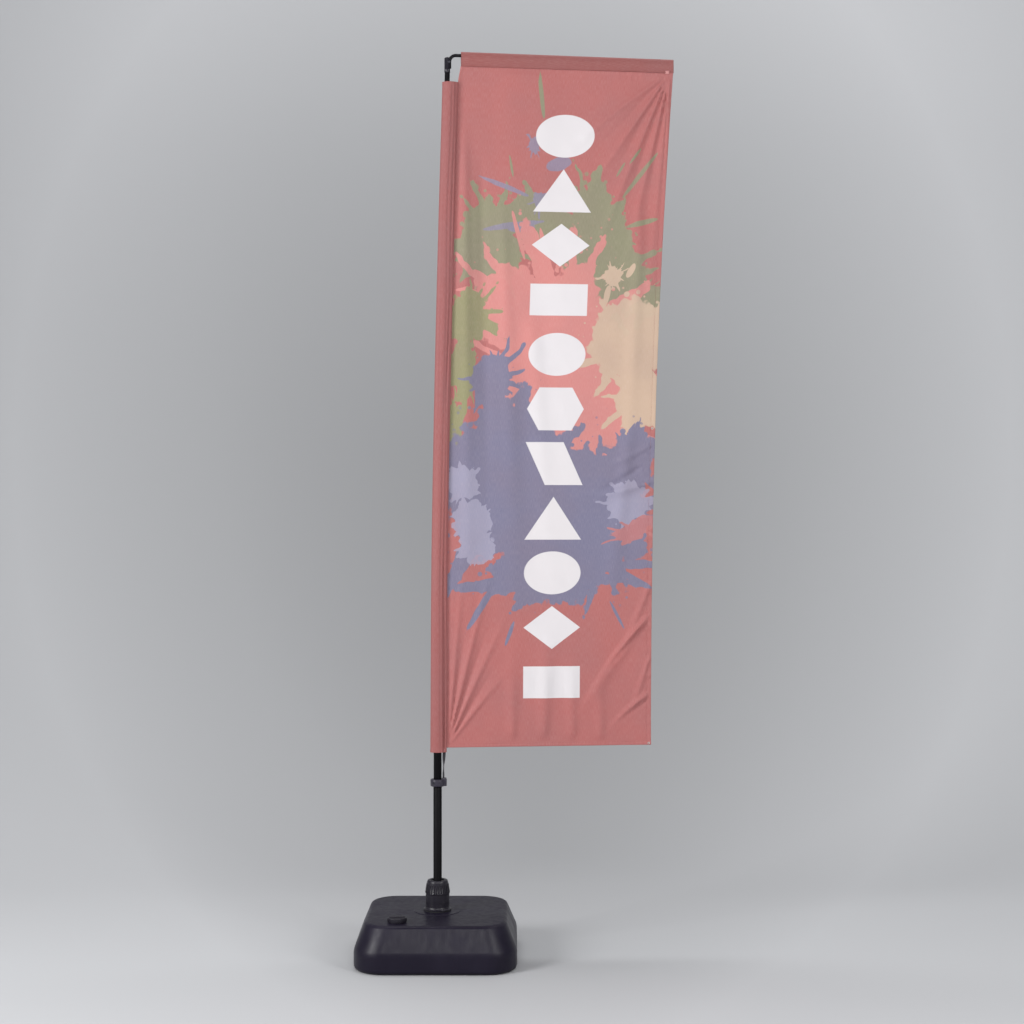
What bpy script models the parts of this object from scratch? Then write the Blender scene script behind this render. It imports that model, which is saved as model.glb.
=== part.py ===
"""Banner flag on a sectioned pole with a bent top arm, standing in a water-filled base.

Frame: origin at the middle of the base's underside, on the ground. +Z is up along the pole,
+X is the side the flag flies to, and +Y points to the flag's back. All sizes are in metres.
"""

import math

import bmesh
import bpy
from mathutils import Matrix, Vector

# ---- fits -----------------------------------------------------------------------------
GAP = 0.0003                 # between faces that touch
RUNNING = 0.0003             # radial play round a tube, rod or pin that turns or slides

# ---- water tank -----------------------------------------------------------------------
TANK_HALF_X = 0.254
TANK_HALF_Y = 0.250
TANK_CORNER = 0.095          # plan radius of the upright corners
TANK_HEIGHT = 0.144
TANK_BAND = 0.062            # height of the upright band below the sloping sides
TANK_SLOPE_INSET = 0.036     # how far the sides lean in between the band and the top
TANK_WALL = 0.004
TANK_FLOOR = 0.006           # thickness under the pole well
TANK_FOOT_ROUND = 0.032
TANK_BAND_ROUND = 0.014
TANK_TOP_ROUND = 0.013

WELL_ROOM = 0.0115           # the blind socket is wider than the pole by this on the radius
SEAT_RADIUS = 0.075          # shallow round pad moulded under the hub
SEAT_RISE = 0.0015

NECK_FROM_LEFT = 0.099       # filler neck, from the left and front edges of the top face
NECK_FROM_FRONT = 0.056
NECK_BORE = 0.0205
NECK_WALL = 0.0035
NECK_RISE = 0.010

# ---- filler cap -----------------------------------------------------------------------
CAP_SEAL_THICKNESS = 0.0017
CAP_RADIUS = 0.0305
CAP_TOP = 0.003              # thickness of the cap's top
CAP_SKIRT_GAP = 0.0015       # under the skirt, above the tank
CAP_GRIP_RISE = 0.0032
CAP_GRIP_WIDTH = 0.009
CAP_FLUTES = 28

# ---- hub, collet and clamp nut --------------------------------------------------------
GASKET_THICKNESS = 0.002
HUB_FLARE_REACH = 0.0065     # how far the flare stands out past the hub
HUB_FLARE_RISE = 0.009
HUB_SHOULDER = 0.008         # how far the hub stands out past its threaded spigot
HUB_HEIGHT = 0.051           # from the flare's underside to the nut's seat
HUB_THREAD_WALL = 0.0068     # wall of the threaded spigot round the collet
HUB_THREAD_RISE = 0.029
HUB_BORE_ROOM = 0.0040       # play round the pole below the collet
HUB_ROOT = 0.030             # length of the root that drops into the well
COLLET_BORE_DEPTH = 0.058    # counterbore that holds the collet
COLLET_WALL = 0.0097         # from the pole to the collet's skin
COLLET_NOSE_WALL = 0.0060    # the same at its nose
COLLET_NOSE_RISE = 0.010
COLLET_SLITS = 6
COLLET_SLIT_WIDTH = 0.0018
SLIP_RING_THICKNESS = 0.002
SLIP_RING_INSET = 0.0025     # from the threaded spigot's skin to the ring's edge
NUT_WALL = 0.0092            # from the threaded spigot to the nut's skin at its foot
NUT_SHOULDER_INSET = 0.0042  # how far the nut has drawn in at its shoulder
NUT_LIP_INSET = 0.0102       # and at its lip
NUT_MOUTH_ROOM = 0.0020      # play round the collet's nose
NUT_HEIGHT = 0.043
NUT_THREAD_PLAY = 0.0008
NUT_FLUTES = 30
NUT_FLUTE_WIDTH = 0.0030
NUT_FLUTE_DEPTH = 0.0013

# ---- foot of the pole -----------------------------------------------------------------
WASHER_THICKNESS = 0.002
WASHER_HOLE = 0.008
CUP_WALL_BOTTOM = 0.004
CUP_HEIGHT = 0.050
PLUG_FLANGE = 0.004
PLUG_LENGTH = 0.026

# ---- pole sections --------------------------------------------------------------------
LOWER_RADIUS = 0.0135
LOWER_WALL = 0.0012
LOWER_TOP = 0.541            # height of the joint between the lower pole and the mast
SPIGOT_LENGTH = 0.100        # reduced end of the mast that plugs into the lower pole
MIDDLE_STEP = 0.0008         # each tube of the mast is thinner than the one it stands in
MIDDLE_WALL = 0.0012
MIDDLE_TOP = 1.100
UPPER_PLAY = 0.0010
UPPER_WALL = 0.0010
UPPER_TOP = 2.020
TOP_PLAY = 0.00115
TOP_WALL = 0.0010
TUBE_SIDES = 20
SECTION_LAP = 0.070          # how far each section stands in the one below
JOINT_RING_RISE = 0.012
JOINT_RING_LIP = 0.0006      # how far a joint ring stands out past the tube below it
JOINT_RING_PLAY = 0.0006     # round the leaning tube inside it
BEND_REACH = 0.0325          # lean at the top of the mast, which bends above its first tube
BEND_POWER = 1.5
MAST_TOP = 2.873

# ---- hinged arm at the top ------------------------------------------------------------
FLAG_YAW = math.radians(6.0)  # the flag and arm point this far behind +X
CLEVIS_LIP = 0.00095         # how far the clevis stands out past the mast's last tube
CLEVIS_HEAD = 0.049
CLEVIS_SPIGOT = 0.014
ARM_RADIUS = 0.0053
ARM_LEG = 0.0075             # the arm's upright end stands this far out from the mast's axis
ARM_BEND = 0.020
ARM_RISE = 0.007             # axis of the level stretch at the bend, above the mast's top
ARM_DROOP = 0.0065           # fall from the bend to the tip
ARM_LEG_DROP = 0.022         # upright stretch below the bend
PIN_RADIUS = 0.0015
PIN_HEAD = 0.0030
PIN_HEAD_RISE = 0.0012
PIN_OFFSET = 0.0050
PIN_DROP = 0.0155            # from the mast's top down to the pin
TIP_CAP_LENGTH = 0.016
TIP_CAP_WALL = 0.0012

# ---- cloth ----------------------------------------------------------------------------
CLOTH = 0.0008               # a single layer as a plain solid
HEM = 0.0018                 # a folded edge as a plain solid
SLEEVE_WALL = 0.0010
SLEEVE_LIFT = 0.109          # the pole sleeve starts this far above the pole's joint
SLEEVE_TOP_DROP = 0.080      # and ends this far below the mast's top
SLEEVE_SIDE_ROOM = 0.0133    # between the mast and the sleeve, left and right
SLEEVE_ROOM = 0.0035         # between the mast and the sleeve, front and back
SLEEVE_SHIFT_BOTTOM = 0.0030  # the sleeve's middle lies this far out from the mast's axis
SLEEVE_SHIFT_TOP = 0.0108
ARM_SLEEVE_START = 0.0751
ARM_SLEEVE_END = 0.7667
ARM_SLEEVE_DEPTH = 0.0105
ARM_SLEEVE_HEIGHT_START = 0.047
ARM_SLEEVE_HEIGHT_END = 0.044
ARM_SLEEVE_CROWN = 0.012     # how far the sleeve reaches above the arm's axis
FLAG_LIFT = 0.014            # the flag's lower edge above the sleeve's
FLAG_REACH = 0.692           # free edge at the bottom corner, from the mast's axis
FLAG_FLARE = 0.073           # how much farther out the free edge stands at the top
FLAG_FLARE_POWER = 2.2
SIDE_HEM_WIDTH = 0.016
BOTTOM_HEM_WIDTH = 0.012
EYELET_RADIUS = 0.0036
EYELET_BARREL = 0.0022
EYELET_HOLE = 0.0015
EYELET_RISE = 0.0006
TAB_WIDTH = 0.016
TAB_HEIGHT = 0.008
TAB_THICKNESS = 0.0010

# ---- tension collar and strap ---------------------------------------------------------
COLLAR_WALL = 0.0103
COLLAR_HEIGHT = 0.0228
COLLAR_CHAMFER = 0.0022
EAR_STANDOUT = 0.0057        # how far the ear stands out past the collar
EAR_HALF_WIDTH = 0.0095
EAR_RISE = 0.0030            # how far the ear stands above the collar
STRAP_THICKNESS = 0.0014
STRAP_FOOT_STANDOFF = 0.0039  # from the mast to the strap, at the collar
STRAP_FOOT_WIDTH = 0.0053
STRAP_HEAD_STANDOFF = 0.0038  # and in the sleeve
STRAP_HEAD_INSET = 0.0018    # from the sleeve's seam, inside, to the strap
STRAP_TUCK = 0.012           # length of strap inside the sleeve
STRAP_SOCKET = 0.009         # depth of the ear's slot

# ---- sizes worked out from the ones above ---------------------------------------------
MIDDLE_RADIUS = LOWER_RADIUS - MIDDLE_STEP
UPPER_RADIUS = MIDDLE_RADIUS - MIDDLE_WALL - UPPER_PLAY
TOP_RADIUS = UPPER_RADIUS - UPPER_WALL - TOP_PLAY
CLEVIS_RADIUS = TOP_RADIUS + CLEVIS_LIP
WELL_BORE = LOWER_RADIUS + WELL_ROOM
HUB_BORE = LOWER_RADIUS + HUB_BORE_ROOM
COLLET_RADIUS = LOWER_RADIUS + COLLET_WALL
COLLET_NOSE = LOWER_RADIUS + COLLET_NOSE_WALL
HUB_THREAD = COLLET_RADIUS + HUB_THREAD_WALL
HUB_RADIUS = HUB_THREAD + HUB_SHOULDER
HUB_FLARE = HUB_RADIUS + HUB_FLARE_REACH
SLIP_RING_RADIUS = HUB_THREAD - SLIP_RING_INSET
NUT_FOOT = HUB_THREAD + NUT_WALL
NUT_SHOULDER = NUT_FOOT - NUT_SHOULDER_INSET
NUT_LIP = NUT_FOOT - NUT_LIP_INSET
NUT_MOUTH = COLLET_NOSE + NUT_MOUTH_ROOM
COLLAR_RADIUS = MIDDLE_RADIUS + COLLAR_WALL
EAR_REACH = COLLAR_RADIUS + EAR_STANDOUT
STRAP_FOOT_LEFT = MIDDLE_RADIUS + STRAP_FOOT_STANDOFF
STRAP_FOOT_RIGHT = STRAP_FOOT_LEFT + STRAP_FOOT_WIDTH
STRAP_HEAD_LEFT = MIDDLE_RADIUS + STRAP_HEAD_STANDOFF
SLEEVE_HALF_WIDTH = MIDDLE_RADIUS + SLEEVE_SIDE_ROOM
STRAP_HEAD_RIGHT = SLEEVE_SHIFT_BOTTOM + SLEEVE_HALF_WIDTH - SLEEVE_WALL - STRAP_HEAD_INSET
SLEEVE_HALF_DEPTH = MIDDLE_RADIUS + SLEEVE_ROOM
NECK_X = TANK_SLOPE_INSET + NECK_FROM_LEFT - TANK_HALF_X
NECK_Y = TANK_SLOPE_INSET + NECK_FROM_FRONT - TANK_HALF_Y
WASHER_Z = TANK_FLOOR + GAP
CUP_Z = WASHER_Z + WASHER_THICKNESS + GAP
PLUG_Z = CUP_Z + CUP_WALL_BOTTOM + GAP
LOWER_Z = PLUG_Z + PLUG_FLANGE + GAP
GASKET_Z = TANK_HEIGHT + SEAT_RISE + GAP
HUB_Z = GASKET_Z + GASKET_THICKNESS + GAP
NUT_Z = HUB_Z + HUB_HEIGHT + GAP
HUB_TOP = HUB_Z + HUB_HEIGHT + HUB_THREAD_RISE
COLLET_Z = HUB_TOP - COLLET_BORE_DEPTH + GAP
SLIP_RING_Z = HUB_TOP + GAP
NUT_SHELF = SLIP_RING_Z + SLIP_RING_THICKNESS + GAP
SEAL_Z = TANK_HEIGHT + NECK_RISE + GAP
CAP_SHELF = SEAL_Z + CAP_SEAL_THICKNESS + GAP
COLLAR_Z = LOWER_TOP + GAP
CLEVIS_Z = MAST_TOP - CLEVIS_HEAD
ARM_HEIGHT = MAST_TOP + ARM_RISE
PIN_HEIGHT = MAST_TOP - PIN_DROP
SLEEVE_BOTTOM = LOWER_TOP + SLEEVE_LIFT
SLEEVE_TOP = MAST_TOP - SLEEVE_TOP_DROP
FLAG_BOTTOM = SLEEVE_BOTTOM + FLAG_LIFT

PARTS = "banner_flag"
CUTTERS = "cutters"

BLACK = (0.020, 0.019, 0.024)
SATIN_BLACK = (0.012, 0.012, 0.014)
RED = (0.46, 0.15, 0.14)
frame_heights = {}


# ---- scene and shape helpers ----------------------------------------------------------
def clear_scene():
    """Remove every object and make the two collections."""
    for obj in list(bpy.data.objects):
        bpy.data.objects.remove(obj, do_unlink=True)
    for name in (PARTS, CUTTERS):
        collection = bpy.data.collections.new(name)
        bpy.context.scene.collection.children.link(collection)


def link(name, data, collection=PARTS):
    """Make an object from mesh or curve data in one of the collections."""
    obj = bpy.data.objects.new(name, data)
    bpy.data.collections[collection].objects.link(obj)
    return obj


def as_cutter(obj):
    """Turn an object into a hidden cutting tool."""
    for collection in list(obj.users_collection):
        collection.objects.unlink(obj)
    bpy.data.collections[CUTTERS].objects.link(obj)
    obj.hide_render = True
    obj.display_type = "WIRE"
    return obj


def frame(name, height, parent=None, x=0.0, y=0.0, yaw=0.0):
    """Add an empty on a joint's axis, at a height above the ground."""
    empty = link(name, None)
    empty.location = (x, y, height - frame_heights.get(parent.name, 0.0) if parent else height)
    empty.rotation_euler = (0.0, 0.0, yaw)
    empty.parent = parent
    frame_heights[name] = height
    return empty


def place(obj, parent, height, x=0.0, y=0.0):
    """Put an object in a frame, with its own zero at a height above the ground."""
    obj.parent = parent
    obj.location = (x, y, height - (frame_heights[parent.name] if parent else 0.0))
    return obj


def paint(obj, colour, roughness, metallic=0.0):
    """Give an object its own material."""
    material = bpy.data.materials.new(obj.name)
    material.use_nodes = True
    shader = material.node_tree.nodes["Principled BSDF"]
    shader.inputs["Base Color"].default_value = (*colour, 1.0)
    shader.inputs["Roughness"].default_value = roughness
    shader.inputs["Metallic"].default_value = metallic
    obj.data.materials.clear()
    obj.data.materials.append(material)
    return obj


def smooth(obj, angle=35.0):
    """Shade a mesh smooth with sharp creases."""
    obj.data.shade_smooth()
    obj.data.set_sharp_from_angle(angle=math.radians(angle))
    return obj


def turned(name, profile, steps=28, ring=True):
    """Revolve a profile of (radius, height) points that runs down its outer side.

    A ring's profile closes on itself; any other starts and ends on the axis.
    """
    mesh = bpy.data.meshes.new(name)
    last = len(profile) - 1
    edges = [(i, i + 1) for i in range(last)]
    if ring:
        edges.append((last, 0))
    mesh.from_pydata([(radius, 0.0, height) for radius, height in profile], edges, [])
    obj = link(name, mesh)
    screw = obj.modifiers.new("Turn", "SCREW")
    screw.steps = steps
    screw.render_steps = steps
    screw.use_merge_vertices = True
    screw.merge_threshold = 0.00001
    screw.use_smooth_shade = True
    return obj


def pipe(name, outer, inner, length, steps=28):
    """A plain ring or tube that stands on its own zero."""
    return turned(name, [(outer, length), (outer, 0.0), (inner, 0.0), (inner, length)], steps)


def drum(name, radius, length, steps=28):
    """A plain solid cylinder that stands on its own zero."""
    return turned(name, [(0.0, length), (radius, length), (radius, 0.0), (0.0, 0.0)], steps, ring=False)


def block(name, low, high):
    """A box between two corners."""
    mesh = bpy.data.meshes.new(name)
    shape = bmesh.new()
    size = [b - a for a, b in zip(low, high)]
    middle = [(a + b) / 2 for a, b in zip(low, high)]
    bmesh.ops.create_cube(shape, size=1.0, matrix=Matrix.Translation(middle) @ Matrix.Diagonal((*size, 1.0)))
    shape.to_mesh(mesh)
    shape.free()
    return link(name, mesh)


def combine(obj, tool, operation):
    """Join, cut or keep one shape with another, whose object becomes a hidden tool."""
    boolean = obj.modifiers.new(operation.title(), "BOOLEAN")
    boolean.operation = operation
    boolean.solver = "EXACT"
    boolean.object = as_cutter(tool)
    return obj


def round_edges(obj, width, segments=2, angle=40.0):
    """Round the sharp edges of an object."""
    bevel = obj.modifiers.new("Round", "BEVEL")
    bevel.width = width
    bevel.segments = segments
    bevel.limit_method = "ANGLE"
    bevel.angle_limit = math.radians(angle)
    return obj


def as_mesh(obj):
    """Replace a curve object by a welded mesh object of the same shape and place."""
    name = obj.name
    evaluated = obj.evaluated_get(bpy.context.evaluated_depsgraph_get())
    mesh = bpy.data.meshes.new_from_object(evaluated)
    shape = bmesh.new()
    shape.from_mesh(mesh)
    bmesh.ops.remove_doubles(shape, verts=shape.verts, dist=0.00001)
    bmesh.ops.recalc_face_normals(shape, faces=shape.faces)
    shape.to_mesh(mesh)
    shape.free()
    place_in_world = obj.matrix_world.copy()
    bpy.data.objects.remove(obj)
    solid = link(name, mesh)
    solid.matrix_world = place_in_world
    return solid


def flat_sheet(name, points, thickness):
    """A flat upright sheet from its outline of (out, up) points."""
    curve = bpy.data.curves.new(name, "CURVE")
    curve.dimensions = "2D"
    curve.fill_mode = "BOTH"
    curve.extrude = thickness / 2
    spline = curve.splines.new("POLY")
    spline.points.add(len(points) - 1)
    for point, (out, up) in zip(spline.points, points):
        point.co = (out, up, 0.0, 1.0)
    spline.use_cyclic_u = True
    sheet = as_mesh(link(name, curve))
    sheet.data.transform(Matrix.Rotation(math.radians(90.0), 4, "X"))
    return sheet


def rod(name, points, radius):
    """A solid round rod along a line of points."""
    curve = bpy.data.curves.new(name, "CURVE")
    curve.dimensions = "3D"
    curve.bevel_depth = radius
    curve.bevel_resolution = 3
    curve.use_fill_caps = True
    spline = curve.splines.new("POLY")
    spline.points.add(len(points) - 1)
    for point, position in zip(spline.points, points):
        point.co = (*position, 1.0)
    return as_mesh(link(name, curve))


def lofted_shell(name, rings, wall, close_end=False):
    """A tube through rings of points, with its wall inwards and, if asked, its last end closed."""
    mesh = bpy.data.meshes.new(name)
    shape = bmesh.new()
    loops = []
    for ring in rings:
        corners = [shape.verts.new(point) for point in ring]
        loops.append([shape.edges.new((a, b)) for a, b in zip(corners, corners[1:] + corners[:1])])
    for near, far in zip(loops, loops[1:]):
        bmesh.ops.bridge_loops(shape, edges=near + far)
    if close_end:
        bmesh.ops.contextual_create(shape, geom=loops[-1])
    bmesh.ops.recalc_face_normals(shape, faces=shape.faces)
    shape.faces.ensure_lookup_table()
    side = shape.faces[0]
    core = sum((Vector(point) for point in rings[0]), Vector()) / len(rings[0])
    if side.normal.dot(side.calc_center_median() - core) < 0.0:
        bmesh.ops.reverse_faces(shape, faces=shape.faces)
    shape.to_mesh(mesh)
    shape.free()
    obj = link(name, mesh)
    solidify = obj.modifiers.new("Wall", "SOLIDIFY")
    solidify.thickness = wall
    solidify.offset = -1.0
    return smooth(obj, 50.0)


def steps_between(low, high, count):
    """Evenly spaced values from low to high, both included."""
    return [low + (high - low) * i / (count - 1) for i in range(count)]


# ---- lines that several pieces share --------------------------------------------------
def mast_lean(height):
    """How far the bent mast's axis stands out from the upright at a height."""
    if height <= MIDDLE_TOP:
        return 0.0
    return BEND_REACH * ((height - MIDDLE_TOP) / (MAST_TOP - MIDDLE_TOP)) ** BEND_POWER


def head_axis():
    """How far the clevis on the mast's end stands out from the upright."""
    return mast_lean(CLEVIS_Z - CLEVIS_SPIGOT / 2)


def sleeve_middle(height):
    """Middle of the pole sleeve at a height, out from the upright."""
    share = (height - SLEEVE_BOTTOM) / (SLEEVE_TOP - SLEEVE_BOTTOM)
    return mast_lean(height) + SLEEVE_SHIFT_BOTTOM + (SLEEVE_SHIFT_TOP - SLEEVE_SHIFT_BOTTOM) * share


def sleeve_seam(height):
    """Outer edge of the pole sleeve, where the flag starts."""
    return sleeve_middle(height) + SLEEVE_HALF_WIDTH


def arm_axis(out):
    """Height of the arm's axis at a distance out from the upright."""
    share = (out - ARM_SLEEVE_START) / (ARM_SLEEVE_END - ARM_SLEEVE_START)
    return ARM_HEIGHT - ARM_DROOP * share


def arm_seam(out):
    """Height of the arm sleeve's lower edge, where the flag starts."""
    share = (out - ARM_SLEEVE_START) / (ARM_SLEEVE_END - ARM_SLEEVE_START)
    height = ARM_SLEEVE_HEIGHT_START + (ARM_SLEEVE_HEIGHT_END - ARM_SLEEVE_HEIGHT_START) * share
    return arm_axis(out) + ARM_SLEEVE_CROWN - height


def free_edge(height):
    """Distance of the flag's free edge out from the upright at a height."""
    share = max(0.0, (height - FLAG_BOTTOM) / (arm_seam(ARM_SLEEVE_END) - FLAG_BOTTOM))
    return FLAG_REACH + FLAG_FLARE * share ** FLAG_FLARE_POWER


# ---- base -----------------------------------------------------------------------------
def tank_form(name, inset, low, high):
    """Rounded block with an upright band and sloping sides, drawn in from the tank's skin."""
    mesh = bpy.data.meshes.new(name)
    shape = bmesh.new()
    half_x = TANK_HALF_X - inset
    half_y = TANK_HALF_Y - inset
    corner = TANK_CORNER - inset
    size = Matrix.Diagonal((2 * half_x, 2 * half_y, TANK_BAND - low, 1.0))
    middle = Matrix.Translation((0.0, 0.0, (low + TANK_BAND) / 2))
    bmesh.ops.create_cube(shape, size=1.0, matrix=middle @ size)
    uprights = [e for e in shape.edges if abs(e.verts[0].co.z - e.verts[1].co.z) > 0.001]
    bmesh.ops.bevel(shape, geom=uprights, offset=corner, segments=7, profile=0.5, affect="EDGES")
    top = [f for f in shape.faces if f.normal.z > 0.9]
    grown = bmesh.ops.extrude_face_region(shape, geom=top)["geom"]
    rim = [v for v in grown if isinstance(v, bmesh.types.BMVert)]
    bmesh.ops.delete(shape, geom=top, context="FACES_ONLY")
    for vert in rim:
        vert.co.x *= 1.0 - TANK_SLOPE_INSET / half_x
        vert.co.y *= 1.0 - TANK_SLOPE_INSET / half_y
        vert.co.z = high
    for height, radius, segments in (
        (low, TANK_FOOT_ROUND - inset, 4),
        (TANK_BAND, TANK_BAND_ROUND, 3),
        (high, TANK_TOP_ROUND - inset / 2, 3),
    ):
        loop = [e for e in shape.edges if all(abs(v.co.z - height) < 1e-5 for v in e.verts)]
        bmesh.ops.bevel(shape, geom=loop, offset=radius, segments=segments, profile=0.5, affect="EDGES")
    bmesh.ops.recalc_face_normals(shape, faces=shape.faces)
    shape.to_mesh(mesh)
    shape.free()
    return link(name, mesh)


def water_tank():
    """Blow-moulded tank with a blind well for the pole and a filler neck."""
    tank = tank_form("water_tank", 0.0, 0.0, TANK_HEIGHT)
    buried = TANK_HEIGHT - TANK_WALL / 2
    seat = place(drum("hub_seat_shape", SEAT_RADIUS, TANK_WALL / 2 + SEAT_RISE, 36), None, buried)
    combine(tank, seat, "UNION")
    neck = drum("neck_shape", NECK_BORE + NECK_WALL, TANK_WALL / 2 + NECK_RISE)
    combine(tank, place(neck, None, buried, NECK_X, NECK_Y), "UNION")
    hollow = tank_form("tank_hollow", TANK_WALL, TANK_WALL, TANK_HEIGHT - TANK_WALL)
    column = drum("well_column", WELL_BORE + TANK_WALL, 2 * TANK_HEIGHT)
    combine(hollow, place(column, None, -TANK_HEIGHT / 2), "DIFFERENCE")
    combine(tank, hollow, "DIFFERENCE")
    well = place(drum("well_bore", WELL_BORE, 2 * TANK_HEIGHT), None, TANK_FLOOR)
    combine(tank, well, "DIFFERENCE")
    mouth = drum("neck_bore", NECK_BORE, 4 * NECK_RISE)
    combine(tank, place(mouth, None, TANK_HEIGHT - 2 * NECK_RISE, NECK_X, NECK_Y), "DIFFERENCE")
    smooth(tank)
    return paint(tank, BLACK, 0.45)


def hub_gasket():
    """Flat ring between the hub and the tank."""
    gasket = pipe("hub_gasket", HUB_FLARE - 0.0010, WELL_BORE, GASKET_THICKNESS)
    return paint(place(gasket, None, GASKET_Z), SATIN_BLACK, 0.8)


def hub_body():
    """Flared hub with a root in the well, a counterbore for the collet and a threaded top."""
    waist = HUB_FLARE - HUB_RADIUS
    flare = []
    for i in range(5):
        angle = math.radians(90.0 * i / 4)
        radius = HUB_RADIUS + waist * (1.0 - math.cos(angle))
        flare.append((radius, HUB_FLARE_RISE - (HUB_FLARE_RISE - 0.002) * math.sin(angle)))
    counterbore = COLLET_RADIUS + RUNNING
    seat = HUB_HEIGHT + HUB_THREAD_RISE - COLLET_BORE_DEPTH
    root = -(GASKET_THICKNESS + 2 * GAP + HUB_ROOT)
    profile = [
        (HUB_THREAD - 0.0015, HUB_HEIGHT + HUB_THREAD_RISE),
        (HUB_THREAD, HUB_HEIGHT + HUB_THREAD_RISE - 0.0015),
        (HUB_THREAD, HUB_HEIGHT),
        (HUB_RADIUS - 0.001, HUB_HEIGHT),
        (HUB_RADIUS, HUB_HEIGHT - 0.001),
        *flare,
        (HUB_FLARE, 0.0),
        (WELL_BORE - GAP, 0.0),
        (WELL_BORE - GAP, root),
        (HUB_BORE, root),
        (HUB_BORE, seat),
        (counterbore, seat),
        (counterbore, HUB_HEIGHT + HUB_THREAD_RISE),
    ]
    hub = turned("hub_body", profile, 36)
    return paint(place(hub, None, HUB_Z), BLACK, 0.4)


def pole_collet():
    """Slit bush that the nut closes on the pole."""
    bore = LOWER_RADIUS + RUNNING
    shoulder = COLLET_BORE_DEPTH - 2 * GAP
    top = shoulder + COLLET_NOSE_RISE
    profile = [
        (COLLET_NOSE - 0.001, top),
        (COLLET_NOSE, top - 0.001),
        (COLLET_NOSE, shoulder),
        (COLLET_RADIUS, shoulder - 0.003),
        (COLLET_RADIUS, 0.0),
        (bore, 0.0),
        (bore, top),
    ]
    collet = turned("pole_collet", profile, 36)
    slits = bpy.data.meshes.new("collet_slits")
    shape = bmesh.new()
    slit = Matrix.Diagonal((COLLET_RADIUS, COLLET_SLIT_WIDTH, top, 1.0))
    out = Matrix.Translation((bore + COLLET_RADIUS / 2 - 0.002, 0.0, top * 0.85))
    for i in range(COLLET_SLITS):
        turn = Matrix.Rotation(2 * math.pi * i / COLLET_SLITS, 4, "Z")
        bmesh.ops.create_cube(shape, size=1.0, matrix=turn @ out @ slit)
    shape.to_mesh(slits)
    shape.free()
    combine(collet, place(link("collet_slits", slits), None, COLLET_Z), "DIFFERENCE")
    return paint(place(collet, None, COLLET_Z), (0.05, 0.05, 0.055), 0.5)


def flute_tool(name, count, width, depth, foot, head, foot_z, head_z):
    """Ring of slim boxes that cuts flutes into a tapering side, from its foot to its head."""
    mesh = bpy.data.meshes.new(name)
    shape = bmesh.new()
    lean = math.atan2(foot - head, head_z - foot_z)
    length = math.hypot(foot - head, head_z - foot_z)
    size = Matrix.Diagonal((2 * depth, width, length, 1.0))
    out = Matrix.Translation(((foot + head) / 2, 0.0, (foot_z + head_z) / 2))
    tilt = Matrix.Rotation(-lean, 4, "Y")
    for i in range(count):
        turn = Matrix.Rotation(2 * math.pi * i / count, 4, "Z")
        bmesh.ops.create_cube(shape, size=1.0, matrix=turn @ out @ tilt @ size)
    shape.to_mesh(mesh)
    shape.free()
    return link(name, mesh)


def clamp_nut(nut_frame, slip_frame):
    """Fluted screw nut, and the slip ring that it pushes ahead of it."""
    ring = pipe("nut_slip_ring", SLIP_RING_RADIUS, COLLET_NOSE + RUNNING, SLIP_RING_THICKNESS)
    paint(place(ring, slip_frame, SLIP_RING_Z), (0.10, 0.10, 0.11), 0.35)
    shelf = NUT_SHELF - NUT_Z
    flute_top = NUT_HEIGHT * 0.74
    lip = []
    for i in range(5):
        angle = math.radians(90.0 - 90.0 * i / 4)
        radius = NUT_LIP + (NUT_SHOULDER - NUT_LIP) * math.cos(angle)
        lip.append((radius, flute_top + (NUT_HEIGHT - flute_top) * math.sin(angle)))
    profile = [
        *lip,
        (NUT_FOOT, 0.004),
        (NUT_FOOT, 0.0),
        (HUB_THREAD + NUT_THREAD_PLAY, 0.0),
        (HUB_THREAD + NUT_THREAD_PLAY, shelf),
        (NUT_MOUTH, shelf),
        (NUT_MOUTH, NUT_HEIGHT - 0.002),
        (NUT_MOUTH + 0.002, NUT_HEIGHT),
    ]
    nut = turned("clamp_nut", profile, 36)
    tool = flute_tool("nut_flutes", NUT_FLUTES, NUT_FLUTE_WIDTH, NUT_FLUTE_DEPTH,
                      NUT_FOOT, NUT_SHOULDER, 0.005, flute_top)
    combine(nut, place(tool, nut_frame, NUT_Z), "DIFFERENCE")
    return paint(place(nut, nut_frame, NUT_Z), BLACK, 0.4)


def filler_cap(cap_frame, seal_frame):
    """Screw cap with a fluted skirt and a finger bar, and the seal under it."""
    seal = pipe("cap_seal", NECK_BORE + NECK_WALL, NECK_BORE + 0.0005, CAP_SEAL_THICKNESS, 24)
    paint(place(seal, seal_frame, SEAL_Z), (0.03, 0.03, 0.03), 0.85)
    foot = TANK_HEIGHT + CAP_SKIRT_GAP
    shelf = CAP_SHELF - foot
    top = shelf + CAP_TOP
    skirt = NECK_BORE + NECK_WALL + 2 * RUNNING
    profile = [
        (0.0, top),
        (CAP_RADIUS - 0.0025, top),
        (CAP_RADIUS, top - 0.0020),
        (CAP_RADIUS, 0.0),
        (skirt, 0.0),
        (skirt, shelf),
        (0.0, shelf),
    ]
    cap = turned("filler_cap", profile, 36, ring=False)
    grip = block("cap_grip", (-CAP_RADIUS * 0.8, -CAP_GRIP_WIDTH / 2, top - 0.001),
                 (CAP_RADIUS * 0.8, CAP_GRIP_WIDTH / 2, top + CAP_GRIP_RISE))
    round_edges(grip, 0.0009)
    combine(cap, place(grip, cap_frame, foot), "UNION")
    tool = flute_tool("cap_flutes", CAP_FLUTES, 0.0024, 0.0009, CAP_RADIUS, CAP_RADIUS,
                      -0.001, top - 0.0035)
    combine(cap, place(tool, cap_frame, foot), "DIFFERENCE")
    return paint(place(cap, cap_frame, foot), SATIN_BLACK, 0.35)


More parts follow.
